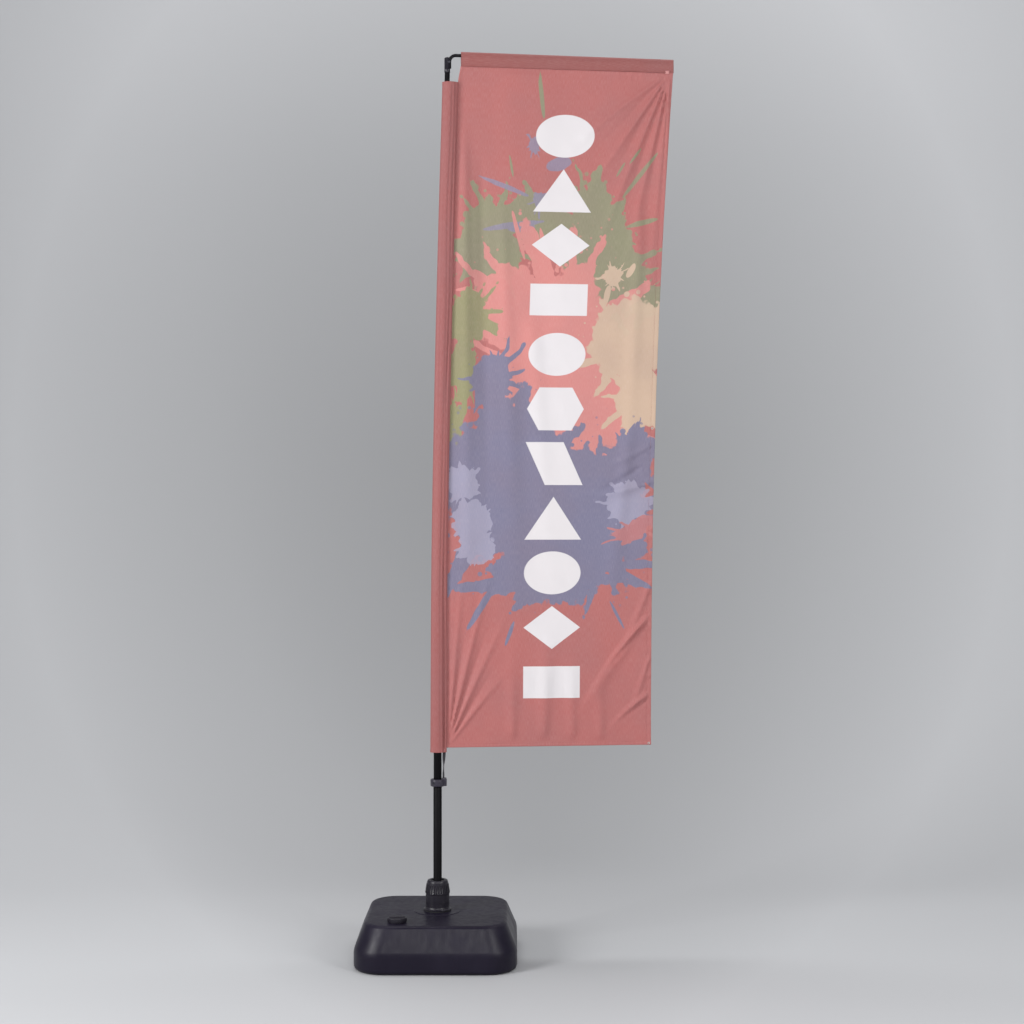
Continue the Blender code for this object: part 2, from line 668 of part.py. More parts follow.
# ---- pole -----------------------------------------------------------------------------
def pole_foot(foot_frame, lower_frame):
    """Washer, turning cup and plug at the bottom of the pole."""
    washer = pipe("thrust_washer", WELL_BORE - RUNNING, WASHER_HOLE, WASHER_THICKNESS)
    paint(place(washer, None, WASHER_Z), (0.55, 0.55, 0.52), 0.3)
    cup_radius = WELL_BORE - RUNNING
    bore = LOWER_RADIUS + RUNNING
    profile = [
        (cup_radius - 0.001, CUP_HEIGHT),
        (cup_radius, CUP_HEIGHT - 0.001),
        (cup_radius, 0.0),
        (0.0, 0.0),
    ]
    inside = [(0.0, CUP_WALL_BOTTOM), (bore, CUP_WALL_BOTTOM), (bore, CUP_HEIGHT)]
    cup = turned("foot_cup", [*inside, *profile], ring=False)
    paint(place(cup, foot_frame, CUP_Z), (0.03, 0.03, 0.03), 0.4)
    spigot = LOWER_RADIUS - LOWER_WALL - GAP
    profile = [
        (0.0, PLUG_FLANGE + PLUG_LENGTH),
        (spigot - 0.001, PLUG_FLANGE + PLUG_LENGTH),
        (spigot, PLUG_FLANGE + PLUG_LENGTH - 0.001),
        (spigot, PLUG_FLANGE),
        (LOWER_RADIUS, PLUG_FLANGE),
        (LOWER_RADIUS, 0.001),
        (LOWER_RADIUS - 0.001, 0.0),
        (0.0, 0.0),
    ]
    plug = turned("pole_foot_plug", profile, 24, ring=False)
    return paint(place(plug, lower_frame, PLUG_Z), (0.02, 0.02, 0.02), 0.6)


def pole_lower(lower_frame):
    """Straight tube that stands in the base."""
    tube = pipe("pole_lower", LOWER_RADIUS, LOWER_RADIUS - LOWER_WALL, LOWER_TOP - LOWER_Z)
    return paint(place(tube, lower_frame, LOWER_Z), SATIN_BLACK, 0.35, 0.3)


def pole_middle(mast_frame):
    """First tube of the mast, with a reduced end that plugs into the lower pole."""
    spigot = LOWER_RADIUS - LOWER_WALL - RUNNING
    bore = spigot - MIDDLE_WALL
    seat = SPIGOT_LENGTH + GAP
    length = MIDDLE_TOP - LOWER_TOP + SPIGOT_LENGTH
    profile = [
        (MIDDLE_RADIUS, length),
        (MIDDLE_RADIUS, seat + 0.0008),
        (spigot, seat),
        (spigot, 0.002),
        (spigot - 0.001, 0.0),
        (bore, 0.0),
        (bore, seat + 0.004),
        (MIDDLE_RADIUS - MIDDLE_WALL, seat + 0.006),
        (MIDDLE_RADIUS - MIDDLE_WALL, length),
    ]
    tube = turned("pole_middle", profile)
    return paint(place(tube, mast_frame, LOWER_TOP - SPIGOT_LENGTH), SATIN_BLACK, 0.35, 0.3)


def bent_tube(name, mast_frame, low, high, radius, wall, stations):
    """Tube that follows the mast's lean between two heights."""
    rings = []
    for height in steps_between(low, high, stations):
        out = mast_lean(height)
        turn = [2 * math.pi * i / TUBE_SIDES for i in range(TUBE_SIDES)]
        rings.append([(out + radius * math.cos(a), radius * math.sin(a), height - low) for a in turn])
    tube = lofted_shell(name, rings, wall)
    return paint(place(tube, mast_frame, low), SATIN_BLACK, 0.35, 0.3)


def joint_ring(name, mast_frame, height, inner, outer):
    """Plastic stop ring where a thinner tube stands in a wider one."""
    out = mast_lean(height + JOINT_RING_RISE / 2)
    edge = outer + JOINT_RING_LIP
    profile = [
        (edge - 0.0015, JOINT_RING_RISE),
        (edge, JOINT_RING_RISE - 0.0015),
        (edge, 0.0),
        (inner + JOINT_RING_PLAY, 0.0),
        (inner + JOINT_RING_PLAY, JOINT_RING_RISE),
    ]
    ring = turned(name, profile, 24)
    return paint(place(ring, mast_frame, height + GAP, out), (0.03, 0.03, 0.03), 0.5)


def mast_sections(mast_frame):
    """The tubes above the lower pole and the rings at their joints."""
    pole_middle(mast_frame)
    bent_tube("pole_upper", mast_frame, MIDDLE_TOP - SECTION_LAP, UPPER_TOP, UPPER_RADIUS, UPPER_WALL, 6)
    joint_ring("joint_ring_lower", mast_frame, MIDDLE_TOP, UPPER_RADIUS, MIDDLE_RADIUS)
    bent_tube("pole_top", mast_frame, UPPER_TOP - SECTION_LAP, CLEVIS_Z - GAP, TOP_RADIUS, TOP_WALL, 6)
    joint_ring("joint_ring_upper", mast_frame, UPPER_TOP, TOP_RADIUS, UPPER_RADIUS)


# ---- hinged arm -----------------------------------------------------------------------
def hinge_clevis(mast_frame):
    """Slotted head on the mast's end that holds the arm between two cheeks."""
    out = head_axis()
    spigot = TOP_RADIUS - TOP_WALL - 2 * GAP
    profile = [
        (0.0, CLEVIS_HEAD),
        (CLEVIS_RADIUS - 0.003, CLEVIS_HEAD),
        (CLEVIS_RADIUS - 0.0008, CLEVIS_HEAD - 0.0012),
        (CLEVIS_RADIUS, CLEVIS_HEAD - 0.003),
        (CLEVIS_RADIUS, 0.001),
        (CLEVIS_RADIUS - 0.0007, 0.0),
        (spigot, 0.0),
        (spigot, -CLEVIS_SPIGOT),
        (0.0, -CLEVIS_SPIGOT),
    ]
    clevis = turned("hinge_clevis", profile, 24, ring=False)
    half_slot = ARM_RADIUS + RUNNING
    floor = ARM_HEIGHT - ARM_BEND - ARM_LEG_DROP - GAP - CLEVIS_Z
    slot = block("clevis_slot", (ARM_LEG - ARM_RADIUS - RUNNING, -half_slot, floor),
                 (2 * CLEVIS_RADIUS, half_slot, CLEVIS_HEAD + 0.01))
    combine(clevis, place(slot, mast_frame, CLEVIS_Z, out), "DIFFERENCE")
    drill = pin_shape("clevis_drill", PIN_RADIUS + RUNNING / 2, 2 * CLEVIS_RADIUS)
    combine(clevis, place(drill, mast_frame, PIN_HEIGHT, out + PIN_OFFSET), "DIFFERENCE")
    return paint(place(clevis, mast_frame, CLEVIS_Z, out), (0.03, 0.03, 0.03), 0.4)


def pin_shape(name, radius, half_length):
    """Plain round bar across the arm, centred on its own zero."""
    bar = drum(name, radius, 2 * half_length, 12)
    bar.data.transform(Matrix.Translation((0.0, 0.0, -half_length)))
    bar.rotation_euler = (math.radians(90.0), 0.0, 0.0)
    return bar


def arm_pin(mast_frame):
    """Domed rivet through the cheeks and the arm."""
    half = CLEVIS_RADIUS + RUNNING
    dome = [
        (0.0, half + PIN_HEAD_RISE),
        (PIN_HEAD * 0.6, half + PIN_HEAD_RISE * 0.85),
        (PIN_HEAD, half + PIN_HEAD_RISE * 0.3),
        (PIN_HEAD, half),
        (PIN_RADIUS, half),
    ]
    profile = dome + [(radius, -height) for radius, height in reversed(dome)]
    pin = turned("arm_pin", profile, 12, ring=False)
    pin.rotation_euler = (math.radians(90.0), 0.0, 0.0)
    place(pin, mast_frame, PIN_HEIGHT, head_axis() + PIN_OFFSET)
    return paint(pin, (0.45, 0.45, 0.47), 0.3, 1.0)


def top_arm(mast_frame):
    """Rod that rises from the clevis, bends and runs out to the flag's far corner."""
    root = head_axis() + ARM_LEG
    points = [(root, 0.0, ARM_HEIGHT - ARM_BEND - ARM_LEG_DROP)]
    for i in range(7):
        angle = math.radians(90.0 * i / 6)
        out = root + ARM_BEND * (1.0 - math.cos(angle))
        points.append((out, 0.0, ARM_HEIGHT - ARM_BEND + ARM_BEND * math.sin(angle)))
    points.append((ARM_SLEEVE_START, 0.0, arm_axis(ARM_SLEEVE_START)))
    tip = arm_tip()
    points.append((tip, 0.0, arm_axis(tip)))
    arm = rod("top_arm", points, ARM_RADIUS)
    arm.data.transform(Matrix.Translation((0.0, 0.0, -MAST_TOP)))
    place(arm, mast_frame, MAST_TOP)
    drill = pin_shape("arm_drill", PIN_RADIUS + RUNNING / 2, 2 * ARM_RADIUS)
    place(drill, mast_frame, PIN_HEIGHT, head_axis() + PIN_OFFSET)
    combine(arm, drill, "DIFFERENCE")
    smooth(arm)
    return paint(arm, SATIN_BLACK, 0.35, 0.2)


def arm_tip():
    """How far out the rod of the arm ends."""
    return ARM_SLEEVE_END - SLEEVE_WALL - 2 * GAP - TIP_CAP_WALL


def arm_tip_cap(mast_frame):
    """Soft cap on the end of the arm, in the closed end of its sleeve."""
    bore = ARM_RADIUS + GAP
    outer = bore + TIP_CAP_WALL
    end = TIP_CAP_WALL
    profile = [
        (0.0, end),
        (outer - 0.0025, end),
        (outer, end - 0.0025),
        (outer, end - TIP_CAP_LENGTH),
        (bore, end - TIP_CAP_LENGTH),
        (bore, 0.0),
        (0.0, 0.0),
    ]
    cap = turned("arm_tip_cap", profile, 24, ring=False)
    seat = arm_tip() + GAP
    slope = math.atan2(ARM_DROOP, ARM_SLEEVE_END - ARM_SLEEVE_START)
    cap.rotation_euler = (0.0, math.radians(90.0) + slope, 0.0)
    place(cap, mast_frame, arm_axis(seat), seat)
    return paint(cap, (0.02, 0.02, 0.02), 0.8)


# ---- flag -----------------------------------------------------------------------------
def pocket_ring(half_length, half_depth, taper, count=18):
    """Outline of a pocket, round at one side and drawn to a seam at the other."""
    ring = []
    for i in range(count):
        angle = 2 * math.pi * i / count
        pinch = 1.0 - taper * max(0.0, math.cos(angle))
        ring.append((half_length * math.cos(angle), half_depth * math.sin(angle) * pinch))
    return ring


def pole_sleeve(mast_frame):
    """Cloth tube that slides down over the mast."""
    outline = pocket_ring(SLEEVE_HALF_WIDTH, SLEEVE_HALF_DEPTH, 0.35)
    rings = []
    for height in steps_between(SLEEVE_BOTTOM, SLEEVE_TOP, 14):
        middle = sleeve_middle(height)
        rings.append([(middle + out, deep, height - SLEEVE_BOTTOM) for out, deep in outline])
    sleeve = lofted_shell("pole_sleeve", rings, SLEEVE_WALL)
    return paint(place(sleeve, mast_frame, SLEEVE_BOTTOM), RED, 0.8)


def arm_sleeve(mast_frame):
    """Cloth pocket along the flag's top, open at the mast and closed at the arm's tip."""
    rings = []
    for out in steps_between(ARM_SLEEVE_START, ARM_SLEEVE_END, 6):
        top = arm_axis(out) + ARM_SLEEVE_CROWN
        low = arm_seam(out)
        outline = pocket_ring((top - low) / 2, ARM_SLEEVE_DEPTH, 0.45)
        middle = (top + low) / 2
        rings.append([(out, deep, middle - up - ARM_HEIGHT) for up, deep in outline])
    sleeve = lofted_shell("arm_sleeve", rings, SLEEVE_WALL, close_end=True)
    return paint(place(sleeve, mast_frame, ARM_HEIGHT), RED, 0.8)


def flag_cloth(mast_frame):
    """The printed sheet, its two hems, the corner eyelet and the corner tab."""
    hem_top = FLAG_BOTTOM + BOTTOM_HEM_WIDTH
    seam = [(sleeve_seam(z) + GAP, z) for z in steps_between(hem_top, SLEEVE_TOP, 14)]
    inner_top = ARM_SLEEVE_END - SIDE_HEM_WIDTH - GAP
    top = [(out, arm_seam(out) - GAP) for out in (ARM_SLEEVE_START, inner_top)]
    edge_heights = steps_between(arm_seam(ARM_SLEEVE_END) - GAP, hem_top, 12)
    edge = [(free_edge(z) - SIDE_HEM_WIDTH - GAP, z) for z in edge_heights]
    panel = flat_sheet("flag_panel", seam + [top[0]] + edge, CLOTH)
    paint(place(panel, mast_frame, 0.0), RED, 0.8)

    outer_heights = steps_between(arm_seam(ARM_SLEEVE_END) - GAP, FLAG_BOTTOM, 12)
    outer = [(free_edge(z), z) for z in outer_heights]
    inner = [(out - SIDE_HEM_WIDTH, z) for out, z in reversed(outer)]
    side = flat_sheet("side_hem", outer + inner, HEM)
    place(side, mast_frame, 0.0)
    corner = (free_edge(FLAG_BOTTOM) - SIDE_HEM_WIDTH / 2, FLAG_BOTTOM + BOTTOM_HEM_WIDTH / 2)
    punch = pin_shape("eyelet_punch", EYELET_BARREL + GAP, 2 * HEM)
    combine(side, place(punch, mast_frame, corner[1], corner[0]), "DIFFERENCE")
    paint(side, RED, 0.8)

    left = sleeve_seam(hem_top) + GAP
    right = FLAG_REACH - SIDE_HEM_WIDTH - GAP
    foot = hem_top - GAP
    outline = [(left, FLAG_BOTTOM), (left, foot), (right, foot), (right, FLAG_BOTTOM)]
    paint(place(flat_sheet("bottom_hem", outline, HEM), mast_frame, 0.0), RED, 0.8)

    face = HEM / 2 + GAP
    profile = [
        (EYELET_RADIUS - 0.0004, face + EYELET_RISE),
        (EYELET_RADIUS, face + EYELET_RISE / 2),
        (EYELET_RADIUS, face),
        (EYELET_BARREL, face),
        (EYELET_BARREL, -face),
        (EYELET_RADIUS, -face),
        (EYELET_RADIUS, -face - EYELET_RISE / 2),
        (EYELET_RADIUS - 0.0004, -face - EYELET_RISE),
        (EYELET_HOLE, -face - EYELET_RISE),
        (EYELET_HOLE, face + EYELET_RISE),
    ]
    eyelet = turned("corner_eyelet", profile, 16)
    eyelet.rotation_euler = (math.radians(90.0), 0.0, 0.0)
    paint(place(eyelet, mast_frame, corner[1], corner[0]), (0.8, 0.8, 0.8), 0.3)

    high = arm_seam(inner_top) - GAP
    right = free_edge(high - TAB_HEIGHT) - SIDE_HEM_WIDTH - 2 * GAP
    front = -CLOTH / 2 - GAP
    tab = block("corner_tab", (right - TAB_WIDTH, front - TAB_THICKNESS, high - TAB_HEIGHT),
                (right, front, high))
    paint(place(tab, mast_frame, 0.0), (0.62, 0.28, 0.27), 0.7)


# ---- collar and strap -----------------------------------------------------------------
def tension_collar(collar_frame):
    """Collar on the mast with an ear whose slot takes the strap."""
    bore = MIDDLE_RADIUS + RUNNING
    ear_z = COLLAR_HEIGHT + EAR_RISE
    profile = [
        (0.0, COLLAR_HEIGHT),
        (COLLAR_RADIUS - COLLAR_CHAMFER, COLLAR_HEIGHT),
        (COLLAR_RADIUS, COLLAR_HEIGHT - COLLAR_CHAMFER),
        (COLLAR_RADIUS, COLLAR_CHAMFER),
        (COLLAR_RADIUS - COLLAR_CHAMFER, 0.0),
        (0.0, 0.0),
    ]
    collar = turned("tension_collar", profile, 32, ring=False)
    ear = block("collar_ear", (0.0, -EAR_HALF_WIDTH, 0.001), (EAR_REACH, EAR_HALF_WIDTH, ear_z))
    round_edges(ear, 0.0020)
    combine(collar, place(ear, collar_frame, COLLAR_Z), "UNION")
    hole = drum("collar_bore", bore, 4 * COLLAR_HEIGHT)
    combine(collar, place(hole, collar_frame, COLLAR_Z - COLLAR_HEIGHT), "DIFFERENCE")
    half_slot = STRAP_THICKNESS / 2 + GAP
    slot = block("ear_slot", (STRAP_FOOT_LEFT - GAP, -half_slot, ear_z - STRAP_SOCKET),
                 (STRAP_FOOT_RIGHT + GAP, half_slot, ear_z + 0.01))
    combine(collar, place(slot, collar_frame, COLLAR_Z), "DIFFERENCE")
    return paint(place(collar, collar_frame, COLLAR_Z), (0.03, 0.028, 0.035), 0.4)


def flag_strap(collar_frame):
    """Elastic strap from the ear's slot up into the sleeve."""
    foot = COLLAR_Z + COLLAR_HEIGHT + EAR_RISE - STRAP_SOCKET + GAP
    rise = COLLAR_Z + COLLAR_HEIGHT + EAR_RISE
    head = SLEEVE_BOTTOM + STRAP_TUCK
    outline = [
        (STRAP_FOOT_LEFT, foot),
        (STRAP_FOOT_RIGHT, foot),
        (STRAP_FOOT_RIGHT, rise + GAP),
        (STRAP_HEAD_RIGHT, (rise + head) / 2),
        (STRAP_HEAD_RIGHT, head),
        (STRAP_HEAD_LEFT, head),
    ]
    strap = flat_sheet("flag_strap", outline, STRAP_THICKNESS)
    return paint(place(strap, collar_frame, 0.0), (0.01, 0.01, 0.01), 0.9)


# ---- the whole object -----------------------------------------------------------------
def build():
    """Make every piece and hang it in its joint's frame."""
    clear_scene()
    foot_frame = frame("foot_frame", CUP_Z)
    lower_frame = frame("lower_frame", PLUG_Z, foot_frame)
    mast_frame = frame("mast_frame", LOWER_TOP, lower_frame, yaw=FLAG_YAW)
    collar_frame = frame("collar_frame", COLLAR_Z, mast_frame)
    slip_frame = frame("nut_slip_frame", SLIP_RING_Z)
    nut_frame = frame("nut_frame", NUT_Z, slip_frame)
    seal_frame = frame("cap_seal_frame", SEAL_Z, x=NECK_X, y=NECK_Y)
    cap_frame = frame("cap_frame", SEAL_Z, seal_frame)

    water_tank()
    hub_gasket()
    hub_body()
    pole_collet()
    clamp_nut(nut_frame, slip_frame)
    filler_cap(cap_frame, seal_frame)
    pole_foot(foot_frame, lower_frame)
    pole_lower(lower_frame)
    mast_sections(mast_frame)
    hinge_clevis(mast_frame)
    arm_pin(mast_frame)
    top_arm(mast_frame)
    arm_tip_cap(mast_frame)
    pole_sleeve(mast_frame)
    arm_sleeve(mast_frame)
    flag_cloth(mast_frame)
    tension_collar(collar_frame)
    flag_strap(collar_frame)


build()
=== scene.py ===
"""Looks of a banner flag on a sectioned pole that stands in a water-filled base.

Lengths are in metres. The row frame has +Z up the pole, +X to the side the flag flies to and +Y
to its back. The flag's own frame is the same one turned by FLAG_YAW about the pole: "out" runs
along the flag, "deep" points to its back and "up" is the height above the ground.
"""

import logging
import math
from contextlib import contextmanager
from dataclasses import dataclass, field
from enum import Enum
from typing import Callable, Iterator, Optional, Sequence, Union

import bmesh
import bpy
import numpy as np
from mathutils import Matrix, Vector


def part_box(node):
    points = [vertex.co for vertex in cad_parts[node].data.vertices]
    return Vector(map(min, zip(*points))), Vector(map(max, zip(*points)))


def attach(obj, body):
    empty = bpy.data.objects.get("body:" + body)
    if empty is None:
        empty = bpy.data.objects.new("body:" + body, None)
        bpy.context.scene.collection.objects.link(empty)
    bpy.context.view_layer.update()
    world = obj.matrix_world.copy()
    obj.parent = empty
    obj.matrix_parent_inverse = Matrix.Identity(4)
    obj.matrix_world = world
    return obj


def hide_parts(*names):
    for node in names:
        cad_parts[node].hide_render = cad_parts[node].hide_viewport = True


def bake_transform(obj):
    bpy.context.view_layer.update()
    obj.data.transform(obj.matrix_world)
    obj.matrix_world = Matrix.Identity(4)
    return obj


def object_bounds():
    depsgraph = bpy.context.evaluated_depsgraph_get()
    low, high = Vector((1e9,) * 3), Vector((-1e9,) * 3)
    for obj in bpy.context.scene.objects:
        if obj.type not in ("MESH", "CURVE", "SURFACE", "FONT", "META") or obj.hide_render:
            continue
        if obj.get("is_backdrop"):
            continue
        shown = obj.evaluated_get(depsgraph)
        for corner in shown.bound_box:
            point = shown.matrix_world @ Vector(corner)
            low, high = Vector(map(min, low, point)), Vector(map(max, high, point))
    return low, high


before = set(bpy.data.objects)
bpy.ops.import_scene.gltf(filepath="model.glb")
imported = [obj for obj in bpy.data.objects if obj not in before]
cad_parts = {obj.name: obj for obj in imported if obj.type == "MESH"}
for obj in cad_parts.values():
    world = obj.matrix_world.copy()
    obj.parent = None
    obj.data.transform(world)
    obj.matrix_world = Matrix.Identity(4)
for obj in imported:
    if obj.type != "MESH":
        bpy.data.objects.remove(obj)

LOG = logging.getLogger("banner_flag")
FLAG_YAW = math.radians(6.0)

Profile = Sequence[tuple[float, float]]
Colour = tuple[float, float, float]
Number = Union[float, "Wire"]
Placing = Callable[[np.ndarray, np.ndarray], tuple[np.ndarray, ...]]


def shade(red: int, green: int, blue: int) -> Colour:
    """Turn a printed colour of 0 to 255 into the linear one that shaders use."""
    parts = [value / 255.0 for value in (red, green, blue)]
    linear = [v / 12.92 if v <= 0.04045 else ((v + 0.055) / 1.055) ** 2.4 for v in parts]
    return linear[0], linear[1], linear[2]


def ease(value: np.ndarray) -> np.ndarray:
    """Ease a value smoothly from 0 to 1, and hold it outside."""
    held = np.clip(value, 0.0, 1.0)
    return held * held * (3.0 - 2.0 * held)


def arc(step: float, count: int) -> list[float]:
    """List angles from zero in equal steps, given in degrees, in radians."""
    return [math.radians(step * i) for i in range(count)]


# ---- hand tools -------------------------------------------------------------------------
class Part(Enum):
    """What a selection in edit mode is made of."""

    VERTS = "VERT"
    EDGES = "EDGE"
    FACES = "FACE"


class Bench:
    """The few moves with Blender's own tools that shape every new piece."""

    @staticmethod
    def rest() -> None:
        """Leave edit mode and let go of everything."""
        if bpy.context.object and bpy.context.object.mode != "OBJECT":
            bpy.ops.object.mode_set(mode="OBJECT")
        bpy.ops.object.select_all(action="DESELECT")

    @staticmethod
    def hold(obj: bpy.types.Object) -> None:
        """Select one object alone and make it the active one."""
        Bench.rest()
        obj.select_set(True)
        bpy.context.view_layer.objects.active = obj

    @staticmethod
    def started(name: str) -> bpy.types.Object:
        """Name the primitive that was just added.

        Args:
            name: the name of the new piece.

        Returns:
            The new object.
        """
        obj = bpy.context.object
        obj.name = name
        obj.data.name = name
        return obj

    @staticmethod
    @contextmanager
    def editing(obj: bpy.types.Object, kind: Part = Part.FACES) -> Iterator[None]:
        """Open a mesh in edit mode with nothing selected, and close it afterwards."""
        Bench.hold(obj)
        bpy.ops.object.mode_set(mode="EDIT")
        bpy.ops.mesh.select_mode(type=kind.value)
        bpy.ops.mesh.select_all(action="DESELECT")
        yield
        bpy.ops.object.mode_set(mode="OBJECT")

    @staticmethod
    def pick(obj: bpy.types.Object, kind: Part, test: Callable[..., bool]) -> None:
        """Select what passes a test in the mesh that is open in edit mode.

        Args:
            obj: the object being edited.
            kind: whether verts, edges or faces are tested.
            test: takes one element and says whether it is wanted.
        """
        bpy.ops.mesh.select_all(action="DESELECT")
        mesh = bmesh.from_edit_mesh(obj.data)
        elements = {Part.VERTS: mesh.verts, Part.EDGES: mesh.edges, Part.FACES: mesh.faces}[kind]
        for element in [element for element in elements if test(element)]:
            element.select = True
        mesh.select_flush_mode()
        bmesh.update_edit_mesh(obj.data)

    @staticmethod
    def tidy(obj: bpy.types.Object, angle: float = 35.0) -> bpy.types.Object:
        """Weld, turn outwards, put at the origin and shade smooth with sharp creases.

        Args:
            obj: the piece to finish.
            angle: edges sharper than this many degrees stay creased.

        Returns:
            The same object.
        """
        with Bench.editing(obj, Part.VERTS):
            bpy.ops.mesh.select_all(action="SELECT")
            bpy.ops.mesh.remove_doubles(threshold=0.000002)
            bpy.ops.mesh.normals_make_consistent(inside=False)
        Bench.hold(obj)
        bpy.ops.object.transform_apply(location=True, rotation=True, scale=True)
        bpy.ops.object.shade_smooth_by_angle(angle=math.radians(angle))
        return obj

    @staticmethod
    def turn(name: str, profile: Profile, sides: int = 64, ring: bool = False,
             axis: Optional[Callable[[float], float]] = None) -> bpy.types.Object:
        """Raise a circle through (radius, height) stations, as on a lathe.

        Args:
            name: the name of the piece.
            profile: the stations, from one end to the other or round a ring's section.
            sides: how many sides the circle has.
            ring: whether the section closes on itself, round a bore.
            axis: gives how far out the turning axis lies at a height.

        Returns:
            The turned object, with its place in its mesh.
        """
        where = axis or (lambda height: 0.0)
        radius, height = profile[0]
        Bench.rest()
        bpy.ops.mesh.primitive_circle_add(
            vertices=sides, radius=radius, fill_type="NOTHING" if ring else "NGON",
            location=(where(height), 0.0, height))
        obj = Bench.started(name)
        bpy.ops.object.mode_set(mode="EDIT")
        bpy.ops.mesh.select_all(action="SELECT")
        stations = list(profile[1:]) + ([profile[0]] if ring else [])
        for wide, tall in stations:
            step = (where(tall) - where(height), 0.0, tall - height)
            bpy.ops.mesh.extrude_region_move(TRANSFORM_OT_translate={"value": step})
            grow = wide / radius
            bpy.ops.transform.resize(value=(grow, grow, 1.0),
                                     center_override=(where(tall), 0.0, tall))
            radius, height = wide, tall
        return Bench.tidy(obj)

    @staticmethod
    def box(name: str, low: Vector, high: Vector, rounding: float = 0.0,
            segments: int = 3) -> bpy.types.Object:
        """Add a block between two corners, with rounded edges if asked.

        Args:
            name: the name of the piece.
            low: its lowest corner.
            high: its highest corner.
            rounding: the edges' radius.
            segments: steps round each edge.

        Returns:
            The block, with its place in its mesh.
        """
        Bench.rest()
        bpy.ops.mesh.primitive_cube_add(size=1.0, location=(Vector(low) + Vector(high)) / 2,
                                        scale=Vector(high) - Vector(low))
        obj = Bench.started(name)
        bpy.ops.object.transform_apply(location=True, rotation=True, scale=True)
        if rounding:
            with Bench.editing(obj, Part.EDGES):
                bpy.ops.mesh.select_all(action="SELECT")
                bpy.ops.mesh.bevel(offset=rounding, segments=segments, affect="EDGES")
        return obj

    @staticmethod
    def combine(obj: bpy.types.Object, tool: bpy.types.Object, how: str) -> bpy.types.Object:
        """Join or cut a piece with another one, which is used up.

        Args:
            obj: the piece that stays.
            tool: the shape that it is joined with or cut by.
            how: UNION or DIFFERENCE.

        Returns:
            The piece that stays.
        """
        Bench.hold(obj)
        boolean = obj.modifiers.new(how.title(), "BOOLEAN")
        boolean.operation = how
        boolean.solver = "EXACT"
        boolean.object = tool
        bpy.ops.object.modifier_apply(modifier=boolean.name)
        bpy.data.objects.remove(tool)
        return obj

    @staticmethod
    def modify(obj: bpy.types.Object, kind: str, **settings: object) -> bpy.types.Object:
        """Add a modifier with its settings and apply it."""
        Bench.hold(obj)
        modifier = obj.modifiers.new(kind.title(), kind)
        for name, value in settings.items():
            setattr(modifier, name, value)
        bpy.ops.object.modifier_apply(modifier=modifier.name)
        return obj

    @staticmethod
    def rib(obj: bpy.types.Object, count: int, outside: float, levels: tuple[float, float],
            rise: float) -> None:
        """Raise upright ribs all round a turned piece.

        Args:
            obj: the piece, still centred on the turning axis.
            count: how many ribs there are.
            outside: faces nearer to the axis than this stay as they are.
            levels: the heights between which the ribs stand.
            rise: how proud they are.
        """
        def is_rib(face: bmesh.types.BMFace) -> bool:
            """Whether a face lies on a rib."""
            middle = face.calc_center_median()
            share = math.atan2(middle.y, middle.x) / math.tau * count % 1.0
            return middle.xy.length > outside and levels[0] < middle.z < levels[1] and share < 0.5

        with Bench.editing(obj, Part.FACES):
            Bench.pick(obj, Part.FACES, is_rib)
            bpy.ops.mesh.extrude_region_shrink_fatten(
                TRANSFORM_OT_shrink_fatten={"value": rise})

    @staticmethod
    def soften(obj: bpy.types.Object, width: float, angle: float) -> None:
        """Bevel the edges of a piece that are sharper than an angle in degrees."""
        Bench.modify(obj, "BEVEL", width=width, segments=2, limit_method="ANGLE",
                     angle_limit=math.radians(angle))

    @staticmethod
    def swing(obj: bpy.types.Object, matrix: Matrix) -> bpy.types.Object:
        """Move a piece's mesh by a matrix and leave its object at the origin."""
        Bench.hold(obj)
        obj.matrix_world = matrix @ obj.matrix_world
        bpy.ops.object.transform_apply(location=True, rotation=True, scale=True)
        return obj

    @staticmethod
    def to_flag(obj: bpy.types.Object) -> bpy.types.Object:
        """Turn a piece made in the flag's frame into the row frame."""
        return Bench.swing(obj, Matrix.Rotation(FLAG_YAW, 4, "Z"))


def fit(obj: bpy.types.Object, body: str, slot: str, material: bpy.types.Material,
        *nodes: str) -> bpy.types.Object:
    """Dress a finished piece and hang it on its body.

    Args:
        obj: the piece.
        body: the body that carries it.
        slot: the record's material slot; not used.
        material: its finish.
        *nodes: the CAD nodes that it stands for.

    Returns:
        The same object.
    """
    obj.data.materials.clear()
    obj.data.materials.append(material)
    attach(obj, body)
    if nodes:
        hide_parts(*nodes)
    LOG.info("%s rides on %s", obj.name, body)
    return obj


